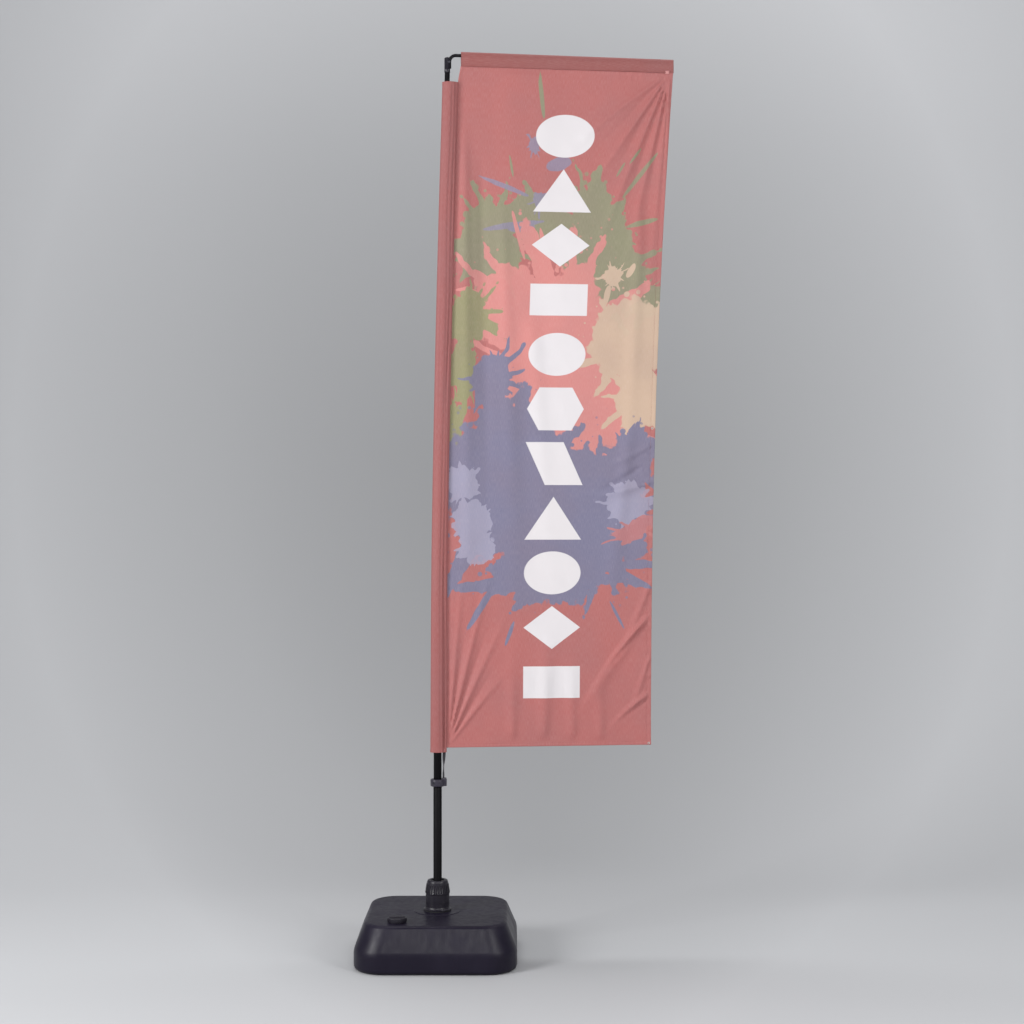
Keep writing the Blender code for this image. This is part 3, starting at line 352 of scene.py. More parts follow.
# ---- finishes ---------------------------------------------------------------------------
class Wire:
    """A node's output that can be reckoned with like a number."""

    def __init__(self, board: "Board", socket: bpy.types.NodeSocket) -> None:
        """Keep the output and the board that it is on."""
        self.board = board
        self.socket = socket

    def __add__(self, other: Number) -> "Wire":
        """Sum of two values."""
        return self.board.sum("ADD", self, other)

    __radd__ = __add__

    def __sub__(self, other: Number) -> "Wire":
        """Difference of two values."""
        return self.board.sum("SUBTRACT", self, other)

    def __rsub__(self, other: Number) -> "Wire":
        """Difference, from the other one."""
        return self.board.sum("SUBTRACT", other, self)

    def __mul__(self, other: Number) -> "Wire":
        """Product of two values."""
        return self.board.sum("MULTIPLY", self, other)

    __rmul__ = __mul__

    def __truediv__(self, other: Number) -> "Wire":
        """Quotient of two values."""
        return self.board.sum("DIVIDE", self, other)

    def least(self, other: Number) -> "Wire":
        """The lesser of two values."""
        return self.board.sum("MINIMUM", self, other)

    def most(self, other: Number) -> "Wire":
        """The greater of two values."""
        return self.board.sum("MAXIMUM", self, other)

    def size(self) -> "Wire":
        """The value without its sign."""
        return self.board.sum("ABSOLUTE", self)

    def below(self, limit: float, soft: float) -> "Wire":
        """A mask that is 1 below a limit and falls to 0 above it.

        Args:
            limit: the value in the middle of the edge.
            soft: half the edge's width.

        Returns:
            The mask, from 0 to 1.
        """
        return self.board.fade(self, limit + soft, limit - soft)


class Board:
    """A material's node tree, with short ways to add what the finishes use."""

    def __init__(self, name: str) -> None:
        """Start a material with a Principled shader.

        Args:
            name: the finish's name.
        """
        self.material = bpy.data.materials.new(name)
        self.material.use_nodes = True
        self.tree = self.material.node_tree
        self.shader = self.tree.nodes["Principled BSDF"]
        self.coordinates = self.add("ShaderNodeTexCoord")

    def add(self, kind: str, **settings: object) -> bpy.types.Node:
        """Add a node and set its properties."""
        node = self.tree.nodes.new(kind)
        for name, value in settings.items():
            setattr(node, name, value)
        return node

    def plug(self, value: object, socket: bpy.types.NodeSocket) -> None:
        """Link a wire to an input, or set the input to a plain value."""
        if isinstance(value, Wire):
            self.tree.links.new(value.socket, socket)
        elif isinstance(value, tuple) and len(value) == 3 and socket.type == "RGBA":
            socket.default_value = (*value, 1.0)
        else:
            socket.default_value = value

    def sum(self, kind: str, *values: Number) -> Wire:
        """Add a Math node on one to three values."""
        node = self.add("ShaderNodeMath", operation=kind)
        for value, socket in zip(values, node.inputs):
            self.plug(value, socket)
        return Wire(self, node.outputs[0])

    def fade(self, value: Number, start: float, end: float) -> Wire:
        """Map a value smoothly from 0 at start to 1 at end."""
        node = self.add("ShaderNodeMapRange", interpolation_type="SMOOTHSTEP")
        for source, name in ((value, "Value"), (start, "From Min"), (end, "From Max")):
            self.plug(source, node.inputs[name])
        return Wire(self, node.outputs[0])

    def blend(self, mask: Number, under: object, over: object) -> Wire:
        """Lay one colour over another by a mask."""
        node = self.add("ShaderNodeMix", data_type="RGBA")
        self.plug(mask, node.inputs[0])
        self.plug(under, node.inputs[6])
        self.plug(over, node.inputs[7])
        return Wire(self, node.outputs[2])

    def body_place(self) -> Wire:
        """The place on the piece, in metres."""
        return Wire(self, self.coordinates.outputs["Object"])

    def cloth_place(self) -> Wire:
        """The place on the cut cloth, in metres, from the piece's own UV map."""
        return Wire(self, self.coordinates.outputs["UV"])

    def seen_from(self, place: Wire, centre: tuple[float, float], size: tuple[float, float],
                  tilt: float = 0.0) -> Wire:
        """Measure a place from a patch's centre, along its axes and in its own sizes."""
        node = self.add("ShaderNodeMapping", vector_type="TEXTURE")
        self.plug(place, node.inputs["Vector"])
        node.inputs["Location"].default_value = (*centre, 0.0)
        node.inputs["Rotation"].default_value = (0.0, 0.0, tilt)
        node.inputs["Scale"].default_value = (*size, 1.0)
        return Wire(self, node.outputs[0])

    def heading(self, place: Wire, shift: tuple[float, float]) -> Wire:
        """Direction of a place from its zero, moved so that each patch gets its own noise."""
        node = self.add("ShaderNodeVectorMath", operation="NORMALIZE")
        self.plug(place, node.inputs[0])
        moved = self.add("ShaderNodeVectorMath", operation="ADD")
        self.tree.links.new(node.outputs[0], moved.inputs[0])
        moved.inputs[1].default_value = (shift[0] * 60.0, shift[1] * 60.0, 0.0)
        return Wire(self, moved.outputs[0])

    def reach(self, place: Wire) -> Wire:
        """Distance of a place from its zero."""
        node = self.add("ShaderNodeVectorMath", operation="LENGTH")
        self.plug(place, node.inputs[0])
        return Wire(self, node.outputs["Value"])

    def stretched(self, place: Wire, across: float, along: float, up: float) -> Wire:
        """Scale a place, so that a pattern is finer one way than another."""
        node = self.add("ShaderNodeVectorMath", operation="MULTIPLY")
        self.plug(place, node.inputs[0])
        node.inputs[1].default_value = (across, along, up)
        return Wire(self, node.outputs[0])

    def split(self, place: Wire) -> tuple[Wire, Wire, Wire]:
        """The three parts of a place."""
        node = self.add("ShaderNodeSeparateXYZ")
        self.plug(place, node.inputs[0])
        return Wire(self, node.outputs[0]), Wire(self, node.outputs[1]), Wire(self, node.outputs[2])

    def noise(self, place: Wire, scale: float, detail: float = 2.0,
              rough: float = 0.5) -> Wire:
        """Cloudy noise around a half."""
        node = self.add("ShaderNodeTexNoise")
        self.plug(place, node.inputs["Vector"])
        node.inputs["Scale"].default_value = scale
        node.inputs["Detail"].default_value = detail
        node.inputs["Roughness"].default_value = rough
        return Wire(self, node.outputs["Fac"])

    def warped(self, place: Wire, scale: float, amount: float) -> Wire:
        """Push a place about by coloured noise."""
        node = self.add("ShaderNodeTexNoise")
        self.plug(place, node.inputs["Vector"])
        node.inputs["Scale"].default_value = scale
        node.inputs["Detail"].default_value = 1.0
        centred = self.add("ShaderNodeVectorMath", operation="SUBTRACT")
        self.tree.links.new(node.outputs["Color"], centred.inputs[0])
        centred.inputs[1].default_value = (0.5, 0.5, 0.5)
        scaled = self.add("ShaderNodeVectorMath", operation="SCALE")
        self.tree.links.new(centred.outputs[0], scaled.inputs[0])
        scaled.inputs["Scale"].default_value = amount
        moved = self.add("ShaderNodeVectorMath", operation="ADD")
        self.plug(place, moved.inputs[0])
        self.tree.links.new(scaled.outputs[0], moved.inputs[1])
        return Wire(self, moved.outputs[0])

    def drops(self, place: Wire, scale: float) -> tuple[Wire, Wire]:
        """Distance to the nearest of many scattered points, and that point's own number."""
        node = self.add("ShaderNodeTexVoronoi", voronoi_dimensions="2D")
        self.plug(place, node.inputs["Vector"])
        node.inputs["Scale"].default_value = scale
        lot = self.add("ShaderNodeSeparateColor")
        self.tree.links.new(node.outputs["Color"], lot.inputs[0])
        return Wire(self, node.outputs["Distance"]), Wire(self, lot.outputs[0])

    def bump(self, height: Wire, strength: float, depth: float,
             under: Optional[Wire] = None) -> Wire:
        """Raise a surface by a height, over another bump if there is one."""
        node = self.add("ShaderNodeBump")
        node.inputs["Strength"].default_value = strength
        node.inputs["Distance"].default_value = depth
        self.plug(height, node.inputs["Height"])
        if under:
            self.plug(under, node.inputs["Normal"])
        return Wire(self, node.outputs[0])

    def close(self, colour: object, rough: Number, normal: Optional[Wire] = None,
              **sockets: float) -> bpy.types.Material:
        """Fill in the shader and give back the material.

        Args:
            colour: a plain colour or a wire.
            rough: the roughness, plain or a wire.
            normal: the bump's output.
            **sockets: further inputs, with _ for each space in their names.

        Returns:
            The finished material.
        """
        self.plug(colour, self.shader.inputs["Base Color"])
        self.plug(rough, self.shader.inputs["Roughness"])
        if normal:
            self.plug(normal, self.shader.inputs["Normal"])
        for name, value in sockets.items():
            self.shader.inputs[name.replace("_", " ")].default_value = value
        return self.material


@dataclass(frozen=True)
class MouldedPlastic:
    """Black moulded plastic with a fine grain, soft dents and a little dust."""

    name: str
    colour: Colour
    rough: float = 0.42
    grain: float = 900.0
    grain_depth: float = 0.00012
    dent: float = 0.0006
    gloss: float = 0.5

    def material(self) -> bpy.types.Material:
        """Build the finish."""
        board = Board(self.name)
        place = board.body_place()
        dust = board.fade(board.noise(place, 9.0, 4.0), 0.42, 0.75)
        streak = board.noise(board.stretched(place, 1.0, 1.0, 0.15), 60.0, 3.0)
        tone = board.blend(dust * 0.35, self.colour, tuple(v * 1.7 + 0.006 for v in self.colour))
        rough = board.fade(streak, 0.2, 0.9) * 0.12 + (self.rough - 0.05) + dust * 0.08
        soft = board.bump(board.noise(place, 7.0, 1.0), 0.6, self.dent)
        fine = board.bump(board.noise(place, self.grain, 2.0), 0.5, self.grain_depth, soft)
        return board.close(tone, rough, fine, Specular_IOR_Level=self.gloss)


@dataclass(frozen=True)
class CoatedTube:
    """Satin black coating on an aluminium tube, with faint lengthwise scuffs."""

    name: str
    colour: Colour
    rough: float = 0.33
    metal: float = 0.25
    gloss: float = 0.10

    def material(self) -> bpy.types.Material:
        """Build the finish."""
        board = Board(self.name)
        place = board.body_place()
        scuff = board.noise(board.stretched(place, 260.0, 260.0, 6.0), 1.0, 3.0)
        worn = board.fade(scuff, 0.60, 0.78)
        tone = board.blend(worn * 0.5, self.colour, tuple(v * 2.2 + 0.012 for v in self.colour))
        rough = board.fade(board.noise(place, 40.0, 3.0), 0.3, 0.8) * 0.10 + self.rough
        peel = board.bump(board.noise(place, 500.0, 2.0), 0.35, 0.00008)
        return board.close(tone, rough + worn * 0.1, peel, Metallic=self.metal,
                           Specular_IOR_Level=self.gloss)


@dataclass(frozen=True)
class BrightMetal:
    """Pressed or headed metal with fine turning marks and dulled patches."""

    name: str
    colour: Colour
    rough: float = 0.22

    def material(self) -> bpy.types.Material:
        """Build the finish."""
        board = Board(self.name)
        place = board.body_place()
        dull = board.fade(board.noise(place, 350.0, 3.0), 0.4, 0.7)
        tone = board.blend(dull * 0.5, self.colour, tuple(v * 0.72 for v in self.colour))
        marks = board.bump(board.noise(place, 1800.0, 2.0), 0.3, 0.00005)
        return board.close(tone, dull * 0.18 + self.rough, marks, Metallic=1.0)


@dataclass(frozen=True)
class Rubber:
    """Soft matt rubber or elastomer."""

    name: str
    colour: Colour

    def material(self) -> bpy.types.Material:
        """Build the finish."""
        board = Board(self.name)
        place = board.body_place()
        chalk = board.fade(board.noise(place, 120.0, 4.0), 0.45, 0.8)
        tone = board.blend(chalk * 0.4, self.colour, tuple(v * 1.8 + 0.01 for v in self.colour))
        skin = board.bump(board.noise(place, 1400.0, 2.0), 0.5, 0.0001)
        return board.close(tone, chalk * 0.1 + 0.78, skin, Sheen_Weight=0.1)


@dataclass(frozen=True)
class Elastic:
    """Black woven elastic with ribs across it and a lengthwise weave."""

    name: str
    colour: Colour
    rib: float = 900.0

    def material(self) -> bpy.types.Material:
        """Build the finish."""
        board = Board(self.name)
        across, along, _ = board.split(board.cloth_place())
        weft = board.sum("SINE", along * self.rib * math.tau)
        warp = board.sum("SINE", across * self.rib * 0.6 * math.tau)
        tone = board.blend(board.fade(weft * warp, -0.4, 1.0) * 0.5, self.colour,
                           tuple(v * 3.0 + 0.01 for v in self.colour))
        cord = board.bump(weft + warp * 0.6, 0.5, 0.0002)
        return board.close(tone, 0.8, cord, Sheen_Weight=0.25)


@dataclass(frozen=True)
class Thread:
    """Twisted sewing thread."""

    name: str
    colour: Colour

    def material(self) -> bpy.types.Material:
        """Build the finish."""
        board = Board(self.name)
        place = board.body_place()
        ply = board.noise(board.stretched(place, 3.0, 3.0, 1.0), 900.0, 2.0)
        tone = board.blend(board.fade(ply, 0.35, 0.65) * 0.6, self.colour,
                           tuple(v * 0.6 for v in self.colour))
        return board.close(tone, 0.65, board.bump(ply, 0.5, 0.0001), Sheen_Weight=0.2)


class Weave:
    """The knit of the flag's polyester, shared by its plain and printed cloth."""

    WALES = 650.0

    @staticmethod
    def bump(board: Board, depth: float = 0.00010) -> Wire:
        """Raise the knit's loops, with soft slubs under them.

        Args:
            board: the material's board.
            depth: how proud the loops stand, in metres.

        Returns:
            The bump's output.
        """
        across, along, _ = board.split(board.cloth_place())
        wale = board.sum("SINE", across * (Weave.WALES * math.tau))
        course = board.sum("SINE", along * (Weave.WALES * 0.8 * math.tau))
        place = board.body_place()
        soft = board.bump(board.noise(board.stretched(place, 1.0, 1.0, 0.35), 38.0, 3.0),
                          0.25, 0.0012)
        return board.bump(wale * 0.6 + course * 0.4, 0.35, depth, soft)

    @staticmethod
    def faded(board: Board, colour: object, strength: float = 1.0) -> Wire:
        """Mottle a colour the way a printed knit does.

        Args:
            board: the material's board.
            colour: a plain colour or a wire.
            strength: how strong the mottle is.

        Returns:
            The mottled colour.
        """
        place = board.cloth_place()
        cloud = board.fade(board.noise(place, 5.0, 3.0), 0.3, 0.7)
        thread = board.noise(board.stretched(place, 900.0, 60.0, 1.0), 1.0, 2.0)
        dark = board.blend(cloud * (0.20 * strength), colour, (0.20, 0.12, 0.13))
        return board.blend(board.fade(thread, 0.35, 0.75) * (0.10 * strength), dark,
                           (0.75, 0.62, 0.60))


@dataclass(frozen=True)
class PlainCloth:
    """Dyed polyester knit in one colour, which on the two sleeves is darkened with painted shade.
    """

    name: str
    colour: Colour
    rough: float = 0.68

    def material(self) -> bpy.types.Material:
        """Build the finish."""
        board = Board(self.name)
        tone = Weave.faded(board, self.colour, 0.6)
        return board.close(tone, self.rough, Weave.bump(board), Sheen_Weight=0.10,
                           Sheen_Roughness=0.45)


@dataclass(frozen=True)
class Blot:
    """One patch of printed colour: its centre, half sizes and tilt on the cut cloth."""

    across: float
    up: float
    wide: float
    tall: float
    tilt: float = 0.0


@dataclass(frozen=True)
class Ink:
    """One printed colour: its patches, how ragged they are and how far it spatters."""

    colour: Colour
    blots: tuple[Blot, ...]
    streaks: tuple[Blot, ...] = ()
    ragged: float = 0.34
    spatter: float = 0.0
    strength: float = 1.0
    rays: float = 0.9


class Badge(Enum):
    """The plain shapes of the printed column."""

    DISC = "disc"
    DIAMOND = "diamond"
    BLOCK = "block"
    PEAK = "peak"
    HEXAGON = "hexagon"
    SLANT = "slant"


@dataclass(frozen=True)
class Column:
    """The column of plain white shapes up the middle of the flag."""

    across: float = 0.347
    first: float = 0.206
    pitch: float = 0.176
    half_width: float = 0.094
    half_height: float = 0.069
    order: tuple[Badge, ...] = (
        Badge.BLOCK, Badge.DIAMOND, Badge.DISC, Badge.PEAK, Badge.SLANT, Badge.HEXAGON,
        Badge.DISC, Badge.BLOCK, Badge.DIAMOND, Badge.PEAK, Badge.DISC)

    def inside(self, board: Board, kind: Badge, out: Wire, up: Wire) -> Wire:
        """How far inside a shape a place is: below 1 is inside.

        Args:
            board: the material's board.
            kind: which shape.
            out: the place across the cell, from -1 to 1.
            up: the place up the cell, from -1 to 1.

        Returns:
            The shape's own distance.
        """
        wide, tall = out.size(), up.size()
        if kind is Badge.DISC:
            return board.sum("SQRT", out * out + up * up)
        if kind is Badge.DIAMOND:
            return wide + tall
        if kind is Badge.PEAK:
            return (wide + (up + 1.0) * 0.5).most(up * -1.0)
        if kind is Badge.HEXAGON:
            return (wide + tall * 0.42).most(tall)
        if kind is Badge.SLANT:
            return ((out + up * 0.35).size() * 1.5).most(tall)
        return wide.most(tall * 1.35)

    def mask(self, board: Board, place: Wire) -> Wire:
        """Where the white shapes are printed.

        Args:
            board: the material's board.
            place: the place on the cut cloth.

        Returns:
            The mask, from 0 to 1.
        """
        across, up, _ = board.split(place)
        out = (across - self.across) / self.half_width
        step = (up - self.first) / self.pitch + 0.5
        number = board.sum("FLOOR", step)
        local = (step - number - 0.5) * (self.pitch / self.half_height)
        total: Optional[Wire] = None
        for kind in Badge:
            cells = [i for i, badge in enumerate(self.order) if badge is kind]
            if not cells:
                continue
            here: Number = 0.0
            for cell in cells:
                here = board.sum("COMPARE", number, float(cell), 0.25) + here
            shape = self.inside(board, kind, out, local).below(1.0, 0.012) * here
            total = shape if total is None else total + shape
        return total


@dataclass(frozen=True)
class PrintedCloth:
    """Polyester knit printed with patches of paint colours and a column of white shapes."""

    name: str
    ground: Colour
    inks: tuple[Ink, ...]
    white: Colour
    column: Column = field(default_factory=Column)

    def ink_mask(self, board: Board, ink: Ink, place: Wire, fringe: Wire) -> Wire:
        """Where one colour is printed.

        Args:
            board: the material's board.
            ink: the colour's patches.
            place: the warped place on the cut cloth.
            fringe: noise that makes the edges ragged.

        Returns:
            The mask, from 0 to 1.
        """
        nearest: Optional[Wire] = None
        for blot in ink.blots:
            spot = board.seen_from(place, (blot.across, blot.up), (blot.wide, blot.tall), blot.tilt)
            way = board.heading(spot, (blot.across, blot.up))
            burst = board.fade(board.noise(way, 4.6, 0.0), 0.52, 0.80) * ink.rays
            size = board.reach(spot) - burst - board.noise(way, 2.4, 0.0) * 0.5 + 0.25
            nearest = size if nearest is None else nearest.least(size)
        edge = nearest + (fringe - 0.5) * (2.0 * ink.ragged)
        mask = edge.below(1.0, 0.03)
        plain = board.cloth_place()
        for streak in ink.streaks:
            size = board.reach(board.seen_from(plain, (streak.across, streak.up),
                                               (streak.wide, streak.tall), streak.tilt))
            mask = mask.most((size + (fringe - 0.5) * 0.5).below(1.0, 0.05))
        if ink.spatter:
            distance, lot = board.drops(plain, 26.0)
            near = board.fade(nearest, 1.0 + ink.spatter, 1.0)
            mask = mask.most((distance - lot * near * 0.30).below(0.0, 0.02) * near)
        return mask * ink.strength

    def material(self) -> bpy.types.Material:
        """Build the finish."""
        board = Board(self.name)
        plain = board.cloth_place()
        place = board.warped(board.warped(plain, 5.0, 0.06), 24.0, 0.020)
        fringe = board.noise(plain, 30.0, 1.5)
        colour: object = self.ground
        for ink in self.inks:
            colour = board.blend(self.ink_mask(board, ink, place, fringe), colour, ink.colour)
        worn = Weave.faded(board, colour, 0.8)
        white = board.blend(board.fade(board.noise(plain, 7.0, 2.0), 0.3, 0.8) * 0.25,
                            self.white, tuple(v * 0.93 for v in self.white))
        tone = board.blend(self.column.mask(board, plain), worn, white)
        return board.close(tone, 0.66, Weave.bump(board), Sheen_Weight=0.10,
                           Sheen_Roughness=0.45)


# ---- lines that the mast, the sleeves and the flag share ---------------------------------
@dataclass(frozen=True)
class Lines:
    """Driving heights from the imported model, and the curves that run through them."""

    bend_start: float
    mast_top: float
    sleeve_bottom: float
    sleeve_top: float
    flag_bottom: float
    bend_reach: float = 0.0325
    bend_power: float = 1.5
    sleeve_half: float = 0.0260
    sleeve_shift: tuple[float, float] = (0.0030, 0.0108)
    arm_rise: float = 0.007
    arm_droop: float = 0.0065
    arm_span: tuple[float, float] = (0.0751, 0.7667)
    arm_crown: float = 0.012
    arm_pocket: tuple[float, float] = (0.047, 0.044)
    reach: float = 0.692
    flare: float = 0.073
    flare_power: float = 2.2

    @classmethod
    def of_frame(cls) -> "Lines":
        """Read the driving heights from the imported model."""
        sleeve_low, sleeve_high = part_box("pole_sleeve")
        return cls(bend_start=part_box("pole_middle")[1].z, mast_top=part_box("hinge_clevis")[1].z,
                   sleeve_bottom=sleeve_low.z, sleeve_top=sleeve_high.z,
                   flag_bottom=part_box("bottom_hem")[0].z)

    def lean(self, up: np.ndarray) -> np.ndarray:
        """How far the bent mast's axis stands out at a height."""
        share = np.clip((up - self.bend_start) / (self.mast_top - self.bend_start), 0.0, None)
        return self.bend_reach * share ** self.bend_power

    def sleeve_middle(self, up: np.ndarray) -> np.ndarray:
        """Middle of the pole sleeve at a height."""
        share = (up - self.sleeve_bottom) / (self.sleeve_top - self.sleeve_bottom)
        low, high = self.sleeve_shift
        return self.lean(up) + low + (high - low) * share

    def seam(self, up: np.ndarray) -> np.ndarray:
        """Where the flag starts at a height: the sleeve's seam, or the free edge above it."""
        corner = ease((up - self.sleeve_top) / 0.055)
        held = np.minimum(up, self.sleeve_top)
        low = self.sleeve_middle(held) + self.sleeve_half
        return low + (self.arm_span[0] - low) * corner

    def arm_axis(self, out: np.ndarray) -> np.ndarray:
        """Height of the arm's axis at a distance out."""
        start, end = self.arm_span
        return self.mast_top + self.arm_rise - self.arm_droop * (out - start) / (end - start)

    def arm_seam(self, out: np.ndarray) -> np.ndarray:
        """Height of the arm sleeve's lower edge at a distance out."""
        start, end = self.arm_span
        share = (out - start) / (end - start)
        tall = self.arm_pocket[0] + (self.arm_pocket[1] - self.arm_pocket[0]) * share
        return self.arm_axis(out) + self.arm_crown - tall

    def free_edge(self, up: np.ndarray) -> np.ndarray:
        """Distance of the flag's free edge out at a height."""
        top = self.arm_seam(self.arm_span[1])
        share = np.clip((up - self.flag_bottom) / (top - self.flag_bottom), 0.0, None)
        return self.reach + self.flare * share ** self.flare_power

    def head(self) -> float:
        """How far the head of the mast stands out."""
        return float(self.lean(self.mast_top - 0.056))


# ---- base -------------------------------------------------------------------------------
@dataclass
class WaterTank:
    """Blow-moulded tank with sloping sides, a hub seat and a filler neck."""

    finish: MouldedPlastic
    height: float = 0.144
    band: float = 0.062
    slope: float = 0.034
    corner: float = 0.095
    foot_round: float = 0.016
    band_round: float = 0.010
    top_round: float = 0.010
    well: float = 0.025
    floor: float = 0.006
    seat: float = 0.0752
    neck_bore: float = 0.0205
    neck_wall: float = 0.0035
    neck_rise: float = 0.010

    def shell(self) -> bpy.types.Object:
        """Shape the tank from a block: round its corners, draw its sides in, soften its edges."""
        low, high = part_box("water_tank")
        Bench.rest()
        bpy.ops.mesh.primitive_cube_add(size=1.0, location=(0.0, 0.0, self.band / 2),
                                        scale=(high.x - low.x, high.y - low.y, self.band))
        tank = Bench.started("tank_shell")
        bpy.ops.object.transform_apply(location=True, rotation=True, scale=True)
        with Bench.editing(tank, Part.EDGES):
            Bench.pick(tank, Part.EDGES,
                       lambda e: abs(e.verts[0].co.z - e.verts[1].co.z) > 0.01)
            bpy.ops.mesh.bevel(offset=self.corner, segments=14, affect="EDGES")
            bpy.ops.mesh.select_mode(type="FACE")
            Bench.pick(tank, Part.FACES, lambda f: f.normal.z > 0.9)
            bpy.ops.mesh.extrude_region_move(
                TRANSFORM_OT_translate={"value": (0.0, 0.0, self.height - self.band)})
            bpy.ops.transform.resize(
                value=(1.0 - self.slope / high.x, 1.0 - self.slope / high.y, 1.0),
                center_override=(0.0, 0.0, 0.0))
            bpy.ops.mesh.select_mode(type="EDGE")
            for level, rounding, steps in ((0.0, self.foot_round, 6),
                                           (self.band, self.band_round, 4),
                                           (self.height, self.top_round, 5)):
                Bench.pick(tank, Part.EDGES,
                           lambda e: all(abs(v.co.z - level) < 1e-5 for v in e.verts))
                bpy.ops.mesh.bevel(offset=rounding, segments=steps, affect="EDGES")
            bpy.ops.mesh.select_mode(type="FACE")
            Bench.pick(tank, Part.FACES, lambda f: f.normal.z < -0.99)
            bpy.ops.mesh.inset(thickness=0.018)
            bpy.ops.mesh.extrude_region_move(
                TRANSFORM_OT_translate={"value": (0.0, 0.0, 0.004)})
            bpy.ops.transform.resize(value=(0.97, 0.97, 1.0), center_override=(0.0, 0.0, 0.0))
        return tank

    def build(self) -> bpy.types.Object:
        """Add the seat, the groove round it, the neck and the two bores."""
        tank = self.shell()
        top = self.height
        neck_low, neck_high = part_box("filler_cap")
        neck_at = Matrix.Translation(((neck_low.x + neck_high.x) / 2,
                                      (neck_low.y + neck_high.y) / 2, 0.0))
        groove = Bench.turn("seat_groove", [
            (self.seat, top - 0.0020), (self.seat + 0.0042, top - 0.0020),
            (self.seat + 0.0052, top + 0.01), (self.seat, top + 0.01)], 96, ring=True)
        Bench.combine(tank, groove, "DIFFERENCE")
        pad = Bench.turn("seat_pad", [
            (self.seat + 0.0001, top - 0.004), (self.seat + 0.0001, top + 0.0004),
            (self.seat - 0.0012, top + 0.0015)], 96)
        Bench.combine(tank, pad, "UNION")
        outer = self.neck_bore + self.neck_wall
        neck = Bench.turn("neck", [
            (outer + 0.0040, top - 0.004), (outer + 0.0038, top + 0.0004),
            (outer, top + 0.0012), (outer, top + 0.0030), (outer + 0.0003, top + 0.0038),
            (outer, top + 0.0046), (outer, top + 0.0060), (outer + 0.0003, top + 0.0068),
            (outer, top + 0.0076), (outer, top + self.neck_rise - 0.0006),
            (outer - 0.0006, top + self.neck_rise)], 64)
        Bench.combine(tank, Bench.swing(neck, neck_at), "UNION")
        bore = Bench.turn("neck_bore", [(self.neck_bore, top - 0.030),
                                        (self.neck_bore, top + 0.030)], 64)
        Bench.combine(tank, Bench.swing(bore, neck_at), "DIFFERENCE")
        well = Bench.turn("well_bore", [(self.well, self.floor), (self.well, 2 * top)], 64)
        Bench.combine(tank, well, "DIFFERENCE")
        Bench.tidy(tank, 32.0)
        Bench.modify(tank, "WEIGHTED_NORMAL", keep_sharp=True)
        return fit(tank, "base", "tank", self.finish.material(), "water_tank")


